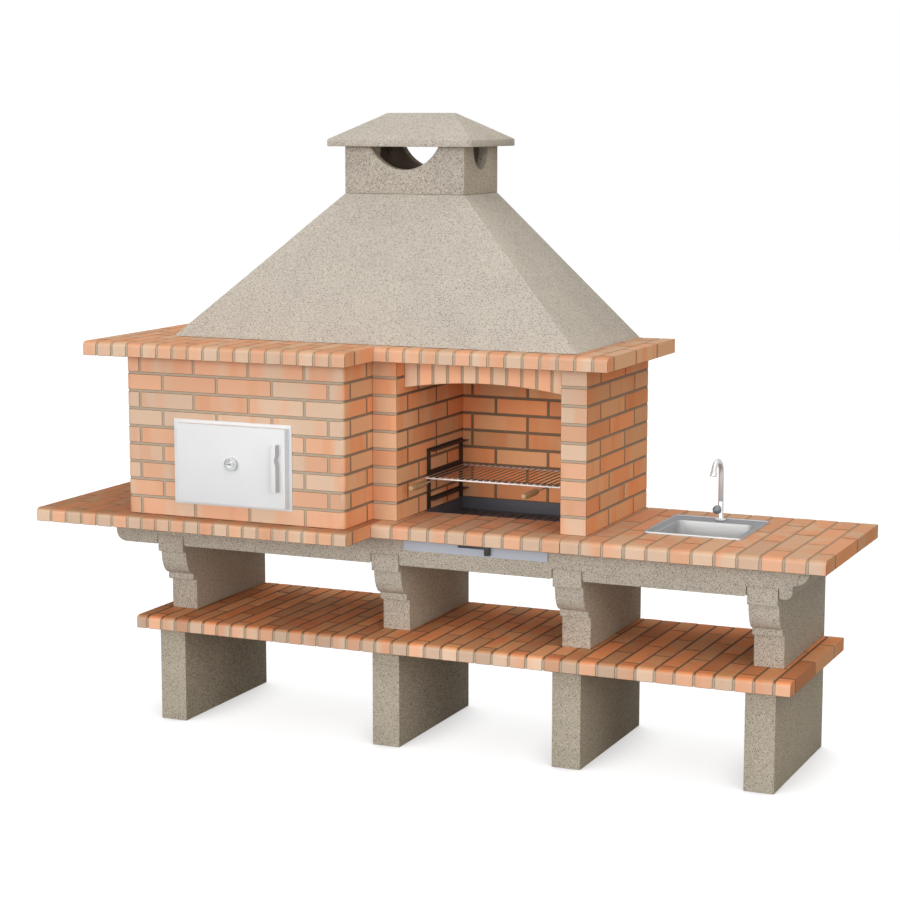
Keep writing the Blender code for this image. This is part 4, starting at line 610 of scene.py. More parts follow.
bm = copy_of(*SLAB_PARTS)
middle_low, middle_high = box_of("support_slab_middle")
for joint in (middle_low.x, middle_high.x):
    ends = [face for face in bm.faces if all(abs(vert.co.x - joint) < SLAB_JOINT for vert in face.verts)]
    bmesh.ops.delete(bm, geom=ends, context="FACES_ONLY")
bmesh.ops.remove_doubles(bm, verts=bm.verts, dist=SLAB_JOINT)
bmesh.ops.dissolve_limit(bm, angle_limit=FLAT, verts=bm.verts, edges=bm.edges)
bmesh.ops.recalc_face_normals(bm, faces=bm.faces)
socket_edges = []
for leg in LEGS:
    head_low, head_high = box_of(f"upper_leg_{leg}")
    for edge in bm.edges:
        gaps = [min(abs(end.co.x - head_low.x), abs(end.co.x - head_high.x)) for end in edge.verts]
        lengthways = abs(edge.verts[0].co.y - edge.verts[1].co.y) > SOCKET_ROUND
        low_down = all(end.co.z < middle_low.z + SLAB_JOINT for end in edge.verts)
        if max(gaps) < SOCKET_ROUND and lengthways and low_down:
            socket_edges.append(edge)
rounded(bm, socket_edges, SOCKET_ROUND, 4)
soften(bm, LEG_EDGE)
finished("concrete_slab", bm, SLAB_CONCRETE, "masonry", "cast_concrete", *SLAB_PARTS)

# Worktop: the same pavers in three lengths, the oven's one deeper towards
# the front. The grill's one has a hole for the ember tray and the sink's one
# a hole for the bowl, both cut with a disc.
OVEN_TOP_JOINTS = ((-1.433, 0.0672, 6), (-1.0366, 0.061, 14))
OVEN_TOP_FRONT_PAVER = 0.052
GRILL_TOP_JOINTS = ((-0.1062, 0.0726, 9),)
GRILL_TOP_FRONT_PAVER = 0.10
GRILL_TOP_PAVER = 0.29
SINK_TOP_JOINTS = ((0.6218, 0.0811, 11),)
SINK_TOP_FRONT_PAVER = 0.124
SINK_TOP_PAVER = 0.311
TRAY_GAP = 0.001
SINK_HOLE_MARGIN = 0.006
# A darker top for the oven's worktop, painted shade, and a side tint for it and the cornice, painted light
# and shade.
LEFT_TOP_SHADE = (0.64, 0.475, 0.335)
CORNER_SIDE_LIGHTING = (1.24, 0.98, 0.72)

tray_hole = resized(plan("ember_tray"), TRAY_GAP)
sink_hole = resized(plan("sink_bowl"), -SINK_HOLE_MARGIN)
LEFT_TOP_CLAY = clay("left_top_clay", Top_Tint=rgba(LEFT_TOP_SHADE), Side_Tint=rgba(CORNER_SIDE_LIGHTING), Spread=0.08)
oven_joints = joints_of(*OVEN_TOP_JOINTS)
grill_joints = joints_of(*GRILL_TOP_JOINTS)
sink_joints = joints_of(*SINK_TOP_JOINTS)
pave("oven_top", "worktop_oven", oven_joints, OVEN_TOP_FRONT_PAVER, SHELF_PAVER, material=LEFT_TOP_CLAY)
pave("grill_top", "worktop_grill", grill_joints, GRILL_TOP_FRONT_PAVER, GRILL_TOP_PAVER, tray_hole)
pave("sink_top", "worktop_sink", sink_joints, SINK_TOP_FRONT_PAVER, SINK_TOP_PAVER, sink_hole)

# Oven walls: nine courses of facing bricks one brick thick, laid in a ring
# so that each course's joints fall half a brick on from the last. The bricks
# round the door are cut, and their cut edges lie behind the door frame.
COURSES = 9
BRICK_LENGTH = 0.2278
ODD_JOINTS = (-1.0655, -0.2445)
EVEN_JOINTS = (-0.9695, -0.378)
CORNER_ROUND = 0.016
FRAME_COVER = 0.036
SAME_SPOT = 0.0001
AT_CORNER = 0.0005
UPRIGHT = 0.01
SLACK = 0.001

front_low, front_high = box_of("oven_front_wall")
frame_low, frame_high = box_of("oven_door_frame")
outer = (front_low.x, front_low.y, front_high.x, plan("oven_back_wall")[3])
inner = (plan("oven_left_wall")[2], front_high.y, plan("oven_right_wall")[0], plan("oven_back_wall")[1])
opening = resized((frame_low.x, frame_low.z, frame_high.x, frame_high.z), -FRAME_COVER)
course_height = (front_high.z - front_low.z) / COURSES
width, depth = outer[2] - outer[0], outer[3] - outer[1]
ring_turns = (width, width + depth, 2 * width + depth, 2 * (width + depth))


def ring_spot(spot):
    """The place on the ring's outer face, counted from its front left corner to the right and round."""
    if spot <= ring_turns[0]:
        return outer[0] + spot, outer[1]
    if spot <= ring_turns[1]:
        return outer[2], outer[1] + spot - ring_turns[0]
    if spot <= ring_turns[2]:
        return outer[2] - (spot - ring_turns[1]), outer[3]
    return outer[0], outer[3] - (spot - ring_turns[2])


def ring_brick(start, end):
    """The outline of a brick of the ring between two places on its outer face."""
    around = ring_turns[3]
    turns = [*ring_turns, *(turn + around for turn in ring_turns)]
    spots = [start, *(turn for turn in turns if start < turn < end), end]
    faces = [ring_spot(spot % around) for spot in spots]
    backs = [(min(max(x, inner[0]), inner[2]), min(max(y, inner[1]), inner[3])) for x, y in reversed(faces)]
    outline = []
    for point in faces + backs:
        if not outline or math.dist(point, outline[-1]) > SAME_SPOT:
            outline.append(point)
    return outline


def ring_joints(front_joint, side_joint):
    """The places of a course's upright joints on the ring, from one joint in front and one in the side."""
    across = [x - outer[0] for x in cuts_between(outer[0], outer[2], front_joint, BRICK_LENGTH)[1:-1]]
    along = [y - outer[1] for y in cuts_between(outer[1], outer[3], side_joint, BRICK_LENGTH)[1:-1]]
    right = [ring_turns[0] + y for y in along]
    back = [ring_turns[2] - x for x in reversed(across)]
    left = [ring_turns[3] - y for y in reversed(along)]
    return across + right + back + left


def course_faces(bottom, course):
    """The lower and upper faces of a course's bricks, in a wall that stands on that bottom."""
    low = bottom + course * course_height + (JOINT / 2 if course else 0)
    high = bottom + (course + 1) * course_height - (JOINT / 2 if course < COURSES - 1 else 0)
    return low, high


def round_corners(bm, area):
    """Rounds the upright edges over the corners of an area."""
    corners = []
    for edge in bm.edges:
        first, second = (end.co for end in edge.verts)
        at_corner = any(math.dist(first.xy, (x, y)) < AT_CORNER for x in area[::2] for y in area[1::2])
        if at_corner and abs(first.z - second.z) > UPRIGHT:
            corners.append(edge)
    for face in rounded(bm, corners, CORNER_ROUND, 5):
        face.smooth = True


bm = brick_mesh()
for course in range(COURSES):
    low, high = course_faces(front_low.z, course)
    spots = ring_joints(*(ODD_JOINTS if (COURSES - course) % 2 else EVEN_JOINTS))
    for start, end in zip(spots, spots[1:] + [spots[0] + ring_turns[3]]):
        tone = random.random()
        outline = ring_brick(start + JOINT / 2, end - JOINT / 2)
        xs = [x for x, y in outline]
        ys = [y for x, y in outline]
        in_front = min(ys) < inner[1] - SLACK and max(ys) < inner[1] + SLACK
        beside = min(xs) < opening[2] and max(xs) > opening[0]
        if in_front and beside and low < opening[3] and high > opening[1]:
            outlines = rest_of((min(xs), low, max(xs), high), opening)
            if outlines:
                block(bm, outlines, outer[1], inner[1], tone, "Y")
        else:
            block(bm, [outline], low, high, tone)
round_corners(bm, outer)
OVEN_WALLS = ("oven_front_wall", "oven_left_wall", "oven_right_wall", "oven_back_wall")
laid("oven_bricks", bm, FACING_BRICK, *OVEN_WALLS)

bm = brick_mesh()
core = resized(outer, -JOINT_RECESS)
behind = inner[1] - JOINT_RECESS
outlines = rest_of((core[0], front_low.z, core[2], front_high.z), opening)
block(bm, outlines, core[1], behind, 0.0, "Y")
left_core = (core[0], behind, inner[0] - JOINT_RECESS, core[3])
right_core = (inner[2] + JOINT_RECESS, behind, core[2], core[3])
back_core = (left_core[2], inner[3] + JOINT_RECESS, right_core[0], core[3])
for area in (left_core, right_core, back_core):
    block(bm, [rectangle(*area)], front_low.z, front_high.z, 0.0)
round_corners(bm, core)
filled("oven_mortar", bm, BEIGE_MORTAR)

# Oven chamber: a firebrick floor and a cast arch with its back behind the
# door, blackened a little by smoke. None of it shows while the door is shut.
FIRE_CLAY = (0.52, 0.42, 0.30)
SOOT = (0.10, 0.085, 0.07)
SMOKE_SHARE = 0.75
FLOOR_EDGE = 0.002
ARCH_EDGE = 0.003

REFRACTORY, tree, shader = new_material("refractory", roughness=0.95, Specular_IOR_Level=0.2)
where = place_of(tree)
smoke = step_of(tree, noise_of(tree, where, 4.0, 4.0), 0.35, 0.7)
fine = noise_of(tree, where, 180.0, 3.0)
color = mixed(tree, product(tree, smoke, SMOKE_SHARE), rgba(FIRE_CLAY), rgba(SOOT))
colored(tree, shader, tinted(tree, color, mixed(tree, fine, gray(0.8), gray(1.15))))
bumped(tree, shader, fine, 0.001, 0.7)
dressed("firebrick_floor", "oven_floor", REFRACTORY, "masonry", "firebrick", FLOOR_EDGE)
dressed("cast_arch", "oven_vault", REFRACTORY, "masonry", "firebrick", ARCH_EDGE)
dressed("cast_arch_back", "oven_vault_back", REFRACTORY, "masonry", "firebrick", ARCH_EDGE)

# Grill walls: two side walls that end in front as pillars one header wide,
# and a thin back wall between them. Bricks that face the fire are drawn
# brighter and a deeper orange, painted light in the deep hearth. The pillars'
# fronts take painted light and the right wall's sides painted shade.
LEFT_JOINTS = ((-0.008, 0.261), (-0.105, 0.257))
RIGHT_JOINTS = ((0.0345, 0.2685), (-0.062, 0.2605))
BACK_JOINTS = ((0.0155, 0.2165), (-0.083, 0.230))
# Tints of painted light for the pillars' fronts, the fire-side faces and the hearth, and painted shade for
# the right wall's sides.
PILLAR_FRONT_LIGHT = (1.12, 0.98, 0.84)
FIRE_SIDE_LIGHT = (1.38, 1.12, 0.82)
HEARTH_LIGHT = (1.28, 0.94, 0.64)
RIGHT_WALL_SIDE_SHADE = (1.16, 0.82, 0.54)
SMOKED_MORTAR = (0.25, 0.185, 0.125)
# Which of a wall's two joint runs each course takes. One comes twice running
# at half height.
BOND = (0, 1, 0, 1, 1, 0, 1, 0, 1)

PILLAR_BRICK = clay("pillar_brick", Front_Tint=rgba(PILLAR_FRONT_LIGHT), Side_Tint=rgba(FIRE_SIDE_LIGHT), Spread=0.08)
HEARTH_BRICK = clay("hearth_brick", Front_Tint=rgba(HEARTH_LIGHT), Spread=0.1)
RIGHT_WALL_BRICK = clay("right_wall_brick", Side_Tint=rgba(RIGHT_WALL_SIDE_SHADE), Spread=0.1)
FIRE_MORTAR = mortar("fire_mortar", FRONT_MORTAR, SMOKED_MORTAR, SMOKED_MORTAR)
HEARTH_MORTAR = mortar("hearth_mortar", SMOKED_MORTAR, SMOKED_MORTAR, SMOKED_MORTAR)


def straight_wall(name, node, material, between, joints):
    """Bricks over a wall's box, laid along its longer side, and the mortar between them."""
    low, high = box_of(node)
    axis = 0 if high.x - low.x > high.y - low.y else 1
    bm = brick_mesh()
    for course in range(COURSES):
        bottom, top = course_faces(low.z, course)
        cuts = cuts_between(low[axis], high[axis], *joints[BOND[course]])
        for number, (start, end) in enumerate(zip(cuts, cuts[1:])):
            start += JOINT / 2 if number else 0
            end -= JOINT / 2 if end < high[axis] else 0
            area = (start, low.y, end, high.y) if axis == 0 else (low.x, start, high.x, end)
            tone = own_tone(course) if axis and not number else random.random()
            block(bm, [rectangle(*area)], bottom, top, tone)
    laid(name + "_bricks", bm, material, node)
    bm = brick_mesh()
    block(bm, [rectangle(*resized(plan(node), -JOINT_RECESS))], low.z, high.z, 0.0)
    filled(name + "_mortar", bm, between)


straight_wall("grill_left", "grill_left_wall", PILLAR_BRICK, FIRE_MORTAR, LEFT_JOINTS)
straight_wall("grill_right", "grill_right_wall", RIGHT_WALL_BRICK, BEIGE_MORTAR, RIGHT_JOINTS)
straight_wall("grill_back", "grill_back_wall", HEARTH_BRICK, HEARTH_MORTAR, BACK_JOINTS)

# Lintel: eleven bricks on end between the pillars, cut along their lower
# ends to a flat arch and set back from the pillars' faces.
SOLDIERS = 11
LINTEL_RISE = 0.028
LINTEL_END_HEIGHT = 0.107
# The lintel's front is drawn lighter: painted light in the shade of the cornice.
LINTEL_LIGHT = (1.28, 1.25, 1.18)

lintel_low, lintel_high = box_of("grill_lintel")
span = lintel_high.x - lintel_low.x
arch_radius = ((span / 2) ** 2 + LINTEL_RISE**2) / (2 * LINTEL_RISE)
arch_middle = (lintel_low.x + lintel_high.x) / 2


def arched(places, lift=0.0):
    """The outline of a part of the lintel, from places along its arch up to its straight top."""
    centre = lintel_high.z - LINTEL_END_HEIGHT + LINTEL_RISE - arch_radius
    edge = [(x, centre + math.sqrt(arch_radius**2 - (x - arch_middle) ** 2) + lift) for x in places]
    return edge + [(places[-1], lintel_high.z), (places[0], lintel_high.z)]


LINTEL_BRICK = clay("lintel_brick", Front_Tint=rgba(LINTEL_LIGHT))
steps = [lintel_low.x + span * step / SOLDIERS for step in range(SOLDIERS + 1)]
bm = brick_mesh()
for number in range(SOLDIERS):
    left = steps[number] + (JOINT / 2 if number else 0)
    right = steps[number + 1] - (JOINT / 2 if number < SOLDIERS - 1 else 0)
    block(bm, [arched((left, right))], lintel_low.y, lintel_high.y, own_tone(number), "Y")
laid("lintel_bricks", bm, LINTEL_BRICK, "grill_lintel")
bm = brick_mesh()
front, back = lintel_low.y + JOINT_RECESS, lintel_high.y - JOINT_RECESS
block(bm, [arched(steps, JOINT_RECESS)], front, back, 0.0, "Y")
filled("lintel_mortar", bm, BEIGE_MORTAR)

# Cornice: one row of pavers laid like the worktop and reaching past the
# walls, deeper over the oven. It is open over the fire and round the flue.
CORNICE_OVEN_JOINTS = ((-1.202, 0.0642, 16),)
CORNICE_OVEN_FRONT_PAVER = 0.0785
CORNICE_GRILL_JOINTS = ((-0.1237, 0.06525, 13),)
CORNICE_GRILL_FRONT_PAVER = 0.065
CORNICE_PAVER = 0.2315
FLUE_MARGIN = 0.004
SMOKE_SIDE = 0.099

flue_hole = resized(plan("oven_flue"), FLUE_MARGIN)
smoke_hole = (lintel_low.x, lintel_high.y, lintel_high.x - SMOKE_SIDE, plan("grill_back_wall")[1])
CORNICE_CLAY = clay("cornice_clay", Side_Tint=rgba(CORNER_SIDE_LIGHTING), Spread=0.08)
oven_joints = joints_of(*CORNICE_OVEN_JOINTS)
grill_joints = joints_of(*CORNICE_GRILL_JOINTS)
kind = {"paver": CORNICE_PAVER, "material": CORNICE_CLAY}
pave("cornice_oven_part", "cornice_oven", oven_joints, CORNICE_OVEN_FRONT_PAVER, hole=flue_hole, **kind)
pave("cornice_grill_part", "cornice_grill", grill_joints, CORNICE_GRILL_FRONT_PAVER, hole=smoke_hole, **kind)

# Hood, chimney stack and cap: three castings of a lighter concrete with fine
# dark grains. Half-round vents open in all four sides of the stack, whose inner
# faces take painted shade, and the hood hides the oven's flue. Their sides take
# painted light, and the stack's darker paste is painted shade under the cap.
HOOD_PASTE = (0.525, 0.475, 0.41)
HOOD_LIGHT_STONE = (0.66, 0.615, 0.55)
HOOD_DARK_STONE = (0.15, 0.12, 0.095)
# The stack's darker paste is painted shade under the cap, and the side tints are painted light.
STACK_PASTE = (0.48, 0.43, 0.365)
HOOD_SIDE_LIGHT = (1.13, 1.12, 1.09)
STACK_SIDE_LIGHT = (1.20, 1.15, 1.05)
CHIMNEY_SHADE = (0.27, 0.21, 0.155)
STACK_SHELL = 0.039
HOOD_EDGE = 0.003
HOOD_SEAM = 0.0005
RIDGE = math.radians(20)
CAP_SLOPE = math.radians(12)
INWARD = -0.01

light_grain = {
    "Light_Stone": rgba(HOOD_LIGHT_STONE),
    "Dark_Stone": rgba(HOOD_DARK_STONE),
    "Light_Share": 0.25,
    "Dark_Share": 0.13,
    "Grit_Share": 0.24,
}
hood_grain = {"Paste": rgba(HOOD_PASTE), "Side_Tint": rgba(HOOD_SIDE_LIGHT), "Stones_Per_Metre": 300.0}
stack_grain = {"Paste": rgba(STACK_PASTE), "Side_Tint": rgba(STACK_SIDE_LIGHT), "Stones_Per_Metre": 260.0}
HOOD_CONCRETE = concrete("hood_concrete", **light_grain, **hood_grain)
STACK_CONCRETE = concrete("stack_concrete", **light_grain, **stack_grain)
# The stack's inner faces take painted shade.
tree = STACK_CONCRETE.node_tree
shader = tree.nodes["Principled BSDF"]
unshaded = shader.inputs["Base Color"].links[0].from_socket
shade_mask = add_node(tree, "Attribute", attribute_name="inner_shade").outputs["Fac"]
colored(tree, shader, mixed(tree, shade_mask, unshaded, rgba(CHIMNEY_SHADE)))
ridged = {"least": RIDGE, "weld": HOOD_SEAM}
dressed("cast_hood", "hood", HOOD_CONCRETE, "masonry", "light_concrete", HOOD_EDGE, **ridged)
bm = soften(copy_of("chimney_stack"), HOOD_EDGE)
stack_low, stack_high = box_of("chimney_stack")
stack_middle = (stack_low + stack_high) / 2
stack_bore = (stack_high - stack_low) / 2 - Vector((STACK_SHELL, STACK_SHELL, 0.0))
# Faces inside the bore are marked for painted shade.
layer = bm.faces.layers.float.new("inner_shade")
for face in bm.faces:
    middle = face.calc_center_median() - stack_middle
    within = abs(middle.x) < stack_bore.x and abs(middle.y) < stack_bore.y
    if within and middle.xy.dot(face.normal.xy) < INWARD:
        face[layer] = 1.0
finished("cast_stack", bm, STACK_CONCRETE, "masonry", "light_concrete", "chimney_stack")
dressed("cast_cap", "chimney_cap", HOOD_CONCRETE, "masonry", "light_concrete", HOOD_EDGE, least=CAP_SLOPE)

# Oven door: a white enamelled steel frame screwed to the bricks and a folded
# steel leaf that lifts off two pins. Its pull handle is folded from the same
# sheet, with a kink for the fingers, and enamelled with it.
ENAMEL_WHITE = (0.83, 0.83, 0.835)
# The enamel's sides are tinted cooler, painted light against the bricks' warm bounce, and the handle's sides
# darker, painted shade.
ENAMEL_SIDE_LIGHT = (0.92, 1.02, 1.08)
HANDLE_SIDE_SHADE = (0.67, 0.68, 0.68)
SHEET_EDGE = 0.0012
PIN_LENGTH = 0.03
FOLD_LENGTH = 0.003
HANDLE_EDGE = 0.0006
ZINC = (0.46, 0.48, 0.53)


def dimmed(color, by):
    """A colour with full cover, made darker by a share."""
    return rgba(channel * (1 - by) for channel in color)


def painted(name, color, roughness, specular=0.4, side=(1.0, 1.0, 1.0)):
    """Sprayed or fired paint on steel, a little uneven. side tints the faces that look left or right: painted
    light and shade.
    """
    material, tree, shader = new_material(name, roughness=roughness, Specular_IOR_Level=specular)
    where = place_of(tree)
    cloud = noise_of(tree, where, 9.0, 3.0)
    tint = mixed(tree, step_of(tree, cloud, 0.35, 0.65), dimmed(color, 0.015), rgba(color))
    beside = step_of(tree, math_of(tree, "ABSOLUTE", facing_of(tree)["X"]), 0.3, 0.8)
    colored(tree, shader, mixed(tree, beside, tint, tinted(tree, tint, rgba(side))))
    gloss = math_of(tree, "MULTIPLY_ADD", cloud, 0.12, roughness - 0.06)
    tree.links.new(gloss, shader.inputs["Roughness"])
    bumped(tree, shader, noise_of(tree, where, 900.0, 1.0), 0.00004, 0.5)
    return material


WHITE_ENAMEL = painted("white_enamel", ENAMEL_WHITE, 0.55, 0.25, ENAMEL_SIDE_LIGHT)
plate = {"radius": SHEET_EDGE, "shortest": PIN_LENGTH}
leaf = {"radius": SHEET_EDGE, "shortest": FOLD_LENGTH}
dressed("door_frame_plate", "oven_door_frame", WHITE_ENAMEL, "masonry", "door_enamel", **plate)
dressed("door_leaf", "oven_door", WHITE_ENAMEL, "oven_door", "door_enamel", **leaf)


def steel(name, color, roughness, strength=0.12, metallic=1.0):
    """Bare or plated steel with faint flecks."""
    material, tree, shader = new_material(name, roughness=roughness, metallic=metallic)
    flecks = noise_of(tree, place_of(tree), 48.0, 4.0)
    colored(tree, shader, mixed(tree, step_of(tree, flecks, 0.3, 0.7), dimmed(color, strength), rgba(color)))
    gloss = math_of(tree, "MULTIPLY_ADD", flecks, strength, roughness - strength / 2)
    tree.links.new(gloss, shader.inputs["Roughness"])
    bumped(tree, shader, flecks, 0.00005, 0.3)
    return material


def surfaced(material, *nodes):
    """A better material for CAD nodes that keep their shape."""
    for name in nodes:
        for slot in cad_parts[name].material_slots:
            slot.material = material


ZINC_STEEL = steel("zinc_steel", ZINC, 0.42)
surfaced(ZINC_STEEL, "door_inner_panel")
HANDLE_ENAMEL = painted("handle_enamel", ENAMEL_WHITE, 0.55, 0.25, HANDLE_SIDE_SHADE)
dressed("pull_handle", "door_handle", HANDLE_ENAMEL, "oven_door", "door_enamel", HANDLE_EDGE)

# Thermometer: a chromed case through the leaf, a light dial with a printed
# scale under clear glass, and a black pointer.
CASE_CHROME = (0.62, 0.62, 0.63)
PAPER_DIM = (0.58, 0.58, 0.585)
PAPER_BRIGHT = (0.64, 0.64, 0.645)
DIAL_INK = (0.36, 0.36, 0.37)
POINTER_COAT = (0.10, 0.10, 0.105)
GLASS_TINT = (0.97, 0.98, 0.98)
SCALE_TURN = 0.37
SCALE_RING = (0.60, 0.72)
SCALE_MARKS = 30
MARK_SHARE = 0.3
CASE_EDGE = 0.0008
DIAL_EDGE = 0.0002
POINTER_EDGE = 0.0001
GLASS_EDGE = 0.0003

CASE_STEEL = steel("case_steel", CASE_CHROME, 0.45, strength=0.06, metallic=0.5)
dial_low, dial_high = box_of("thermometer_dial")
dial_radius = (dial_high.x - dial_low.x) / 2
to_middle = -(dial_low + dial_high) / (2 * dial_radius)
scale_width = SCALE_RING[1] - SCALE_RING[0]

DIAL_FACE, tree, shader = new_material("dial_face", roughness=0.5)
where = place_of(tree)
centred = {"Vector": where, "Location": to_middle, "Scale": [1 / dial_radius] * 3}
spot = add_node(tree, "Mapping", centred).outputs[0]
away = add_node(tree, "VectorMath", {0: spot}, operation="LENGTH").outputs["Value"]
spot = axes_of(tree, spot)
turn = math_of(tree, "DIVIDE", math_of(tree, "ARCTAN2", spot["X"], spot["Z"]), 2 * math.pi)
on_scale = math_of(tree, "LESS_THAN", math_of(tree, "ABSOLUTE", turn), SCALE_TURN)
ring = math_of(tree, "COMPARE", away, sum(SCALE_RING) / 2, scale_width / 4)
mark = math_of(tree, "LESS_THAN", math_of(tree, "FRACT", product(tree, turn, SCALE_MARKS)), MARK_SHARE)
reach = math_of(tree, "COMPARE", away, SCALE_RING[1], scale_width)
ink = product(tree, math_of(tree, "MAXIMUM", ring, product(tree, mark, reach)), on_scale)
paper = mixed(tree, noise_of(tree, where, 300.0), rgba(PAPER_DIM), rgba(PAPER_BRIGHT))
colored(tree, shader, mixed(tree, ink, paper, rgba(DIAL_INK)))
bumped(tree, shader, ink, 0.00003, 0.3)

POINTER_BLACK = painted("pointer_black", POINTER_COAT, 0.6)
pointer = {"body": "thermometer_needle", "slot": "needle_black", "radius": POINTER_EDGE}
glass = {"Transmission_Weight": 1.0, "IOR": 1.45, "Base_Color": rgba(GLASS_TINT)}
CLEAR_GLASS = new_material("clear_glass", roughness=0.1, **glass)[0]
dressed("thermometer_body", "thermometer_case", CASE_STEEL, "oven_door", "tap_chrome", CASE_EDGE)
dressed("dial_plate", "thermometer_dial", DIAL_FACE, "oven_door", "dial_white", DIAL_EDGE)
dressed("dial_pointer", "thermometer_needle", POINTER_BLACK, **pointer)
dressed("dial_glass_disc", "thermometer_glass", CLEAR_GLASS, "oven_door", "dial_glass", GLASS_EDGE)

# Ember tray and ash drawer: a tray of dark coated sheet with slots in its
# floor, let into the worktop, and under it a drawer of sheet steel painted
# grey, with a black bar handle.
SLATE_COAT = (0.118, 0.122, 0.142)
GREY_PAINT = (0.51, 0.55, 0.62)
BLACK_COAT = (0.030, 0.025, 0.024)
BAR_EDGE = 0.0008

TRAY_SLATE = painted("tray_coating", SLATE_COAT, 0.55)
DRAWER_GREY = painted("drawer_grey", GREY_PAINT, 0.5, 0.3)
BLACK_PAINT = painted("black_paint", BLACK_COAT, 0.42)
surfaced(TRAY_SLATE, "ember_tray")
surfaced(DRAWER_GREY, "ash_drawer_front", "ash_drawer_box")
dressed("drawer_bar", "ash_drawer_handle", BLACK_PAINT, "ash_drawer", "black_steel", BAR_EDGE)

# Rack supports: two welded frames of black angle steel with three ledges,
# each held to the brick by two screws.
for side in ("left", "right"):
    surfaced(BLACK_PAINT, f"rack_support_{side}", f"rack_screw_{side}_front", f"rack_screw_{side}_back")

# Grill rack: steel wires welded across two bars, with two rods to the front
# that end in turned wooden grips. The wires are drawn brown, and a painted
# highlight brightens their front ends and the front bar.
WIRE_HIGHLIGHT = (0.97, 0.94, 0.91)
WIRE_BROWN = (0.58, 0.37, 0.25)
WOOD_DARK = (0.36, 0.23, 0.105)
WOOD_LIGHT = (0.54, 0.37, 0.19)
BAR_BEHIND = 0.070
BRIGHT_REACH = 0.010
ROD_DEPTH = 0.005
WIRE_SMOOTH = math.radians(60)
GRIP_EDGE = 0.0008

rods_top = box_of("grill_rack")[0].z + ROD_DEPTH
front_bar = plan("rack_grip_left")[3] + BAR_BEHIND
RACK_STEEL, tree, shader = new_material("rack_steel", roughness=0.42, metallic=0.2)
where = place_of(tree)
spot = axes_of(tree, where)
smoke = mixed(tree, noise_of(tree, where, 40.0, 3.0), gray(0.8), gray(1.15))
# A painted highlight on the top of the front bar and on faces that look to the front.
beside = math_of(tree, "ABSOLUTE", math_of(tree, "SUBTRACT", spot["Y"], front_bar))
beside = step_of(tree, beside, BRIGHT_REACH, BRIGHT_REACH * 0.7)
above = step_of(tree, spot["Z"], rods_top, rods_top + ROD_DEPTH * 0.2)
ends = step_of(tree, facing_of(tree)["Y"], -0.2, -0.7)
painted_highlight = math_of(tree, "MAXIMUM", product(tree, beside, above), ends)
colored(tree, shader, tinted(tree, mixed(tree, painted_highlight, rgba(WIRE_BROWN), rgba(WIRE_HIGHLIGHT)), smoke))
bm = copy_of("grill_rack")
finished("wire_rack", bm, RACK_STEEL, "grill_rack", "rack_chrome", "grill_rack", smooth=WIRE_SMOOTH)

GRIP_WOOD, tree, shader = new_material("grip_wood", roughness=0.55)
stretched = add_node(tree, "Mapping", {"Vector": place_of(tree), "Scale": (160.0, 14.0, 160.0)})
rings = noise_of(tree, stretched.outputs[0], 1.0, 3.0)
colored(tree, shader, mixed(tree, step_of(tree, rings, 0.3, 0.7), rgba(WOOD_DARK), rgba(WOOD_LIGHT)))
bumped(tree, shader, rings, 0.0002, 0.4)
for side in ("left", "right"):
    dressed(f"wood_grip_{side}", f"rack_grip_{side}", GRIP_WOOD, "grill_rack", "grip_wood", GRIP_EDGE)

# Sink: one sheet of stainless steel, pressed to a round-cornered bowl with a
# flat flange, a raised bead round it whose edge is turned down to the pavers,
# and a strainer in its floor.
RIM_LEFT = 0.038
RIM_RIGHT = 0.027
RIM_FRONT = 0.010
RIM_BACK = 0.085
BOWL_DEEP = 0.130
BOWL_CORNER = 0.034
BOWL_FILLET = 0.026
BOWL_LIP = 0.004
RIM_CORNER = 0.012
BEAD_HEIGHT = 0.0034
BEAD_TOP = 0.0045
BEAD_FOOT = 0.0056
BEAD_ROUND = 0.0010
SINK_SHEET = 0.0012
STRAINER_EDGE = 0.0006
FLANGE_SHADE_STEEL = (0.185, 0.19, 0.205)
WALL_LIT_STEEL = (0.50, 0.505, 0.505)

STAINLESS, tree, shader = new_material("stainless", roughness=0.42, metallic=0.35)
stretched = add_node(tree, "Mapping", {"Vector": place_of(tree), "Scale": (1.0, 40.0, 40.0)})
lines = noise_of(tree, stretched.outputs[0], 8.0, 4.0)
brushed = mixed(tree, step_of(tree, lines, 0.3, 0.7), gray(0.94), gray(1.03))
# Faces that look up are drawn darker than the bowl's walls: painted shade and reflection.
level = step_of(tree, facing_of(tree)["Z"], 0.5, 0.95)
colored(tree, shader, tinted(tree, mixed(tree, level, rgba(WALL_LIT_STEEL), rgba(FLANGE_SHADE_STEEL)), brushed))
bumped(tree, shader, lines, 0.00005, 0.3)
rim = plan("sink_bowl")
rim_top = box_of("sink_bowl")[1].z
rim_under = box_of("worktop_sink")[1].z
crest = resized(rim, -BEAD_TOP)
foot = resized(rim, -BEAD_FOOT)
bowl = (rim[0] + RIM_LEFT, rim[1] + RIM_FRONT, rim[2] - RIM_RIGHT, rim[3] - RIM_BACK)


def outline_spot(spot, old, old_corner, new, new_corner):
    """The place on a new rounded rectangle that belongs to a place on an old one."""
    placed = []
    for axis in (0, 1):
        middle = (old[axis] + old[axis + 2]) / 2
        side = 1 if spot[axis] > middle else -1
        turned = spot[axis] - middle - side * ((old[axis + 2] - old[axis]) / 2 - old_corner)
        reach = (new[axis + 2] - new[axis]) / 2 - new_corner
        placed.append((new[axis] + new[axis + 2]) / 2 + side * reach + turned * new_corner / old_corner)
    return placed


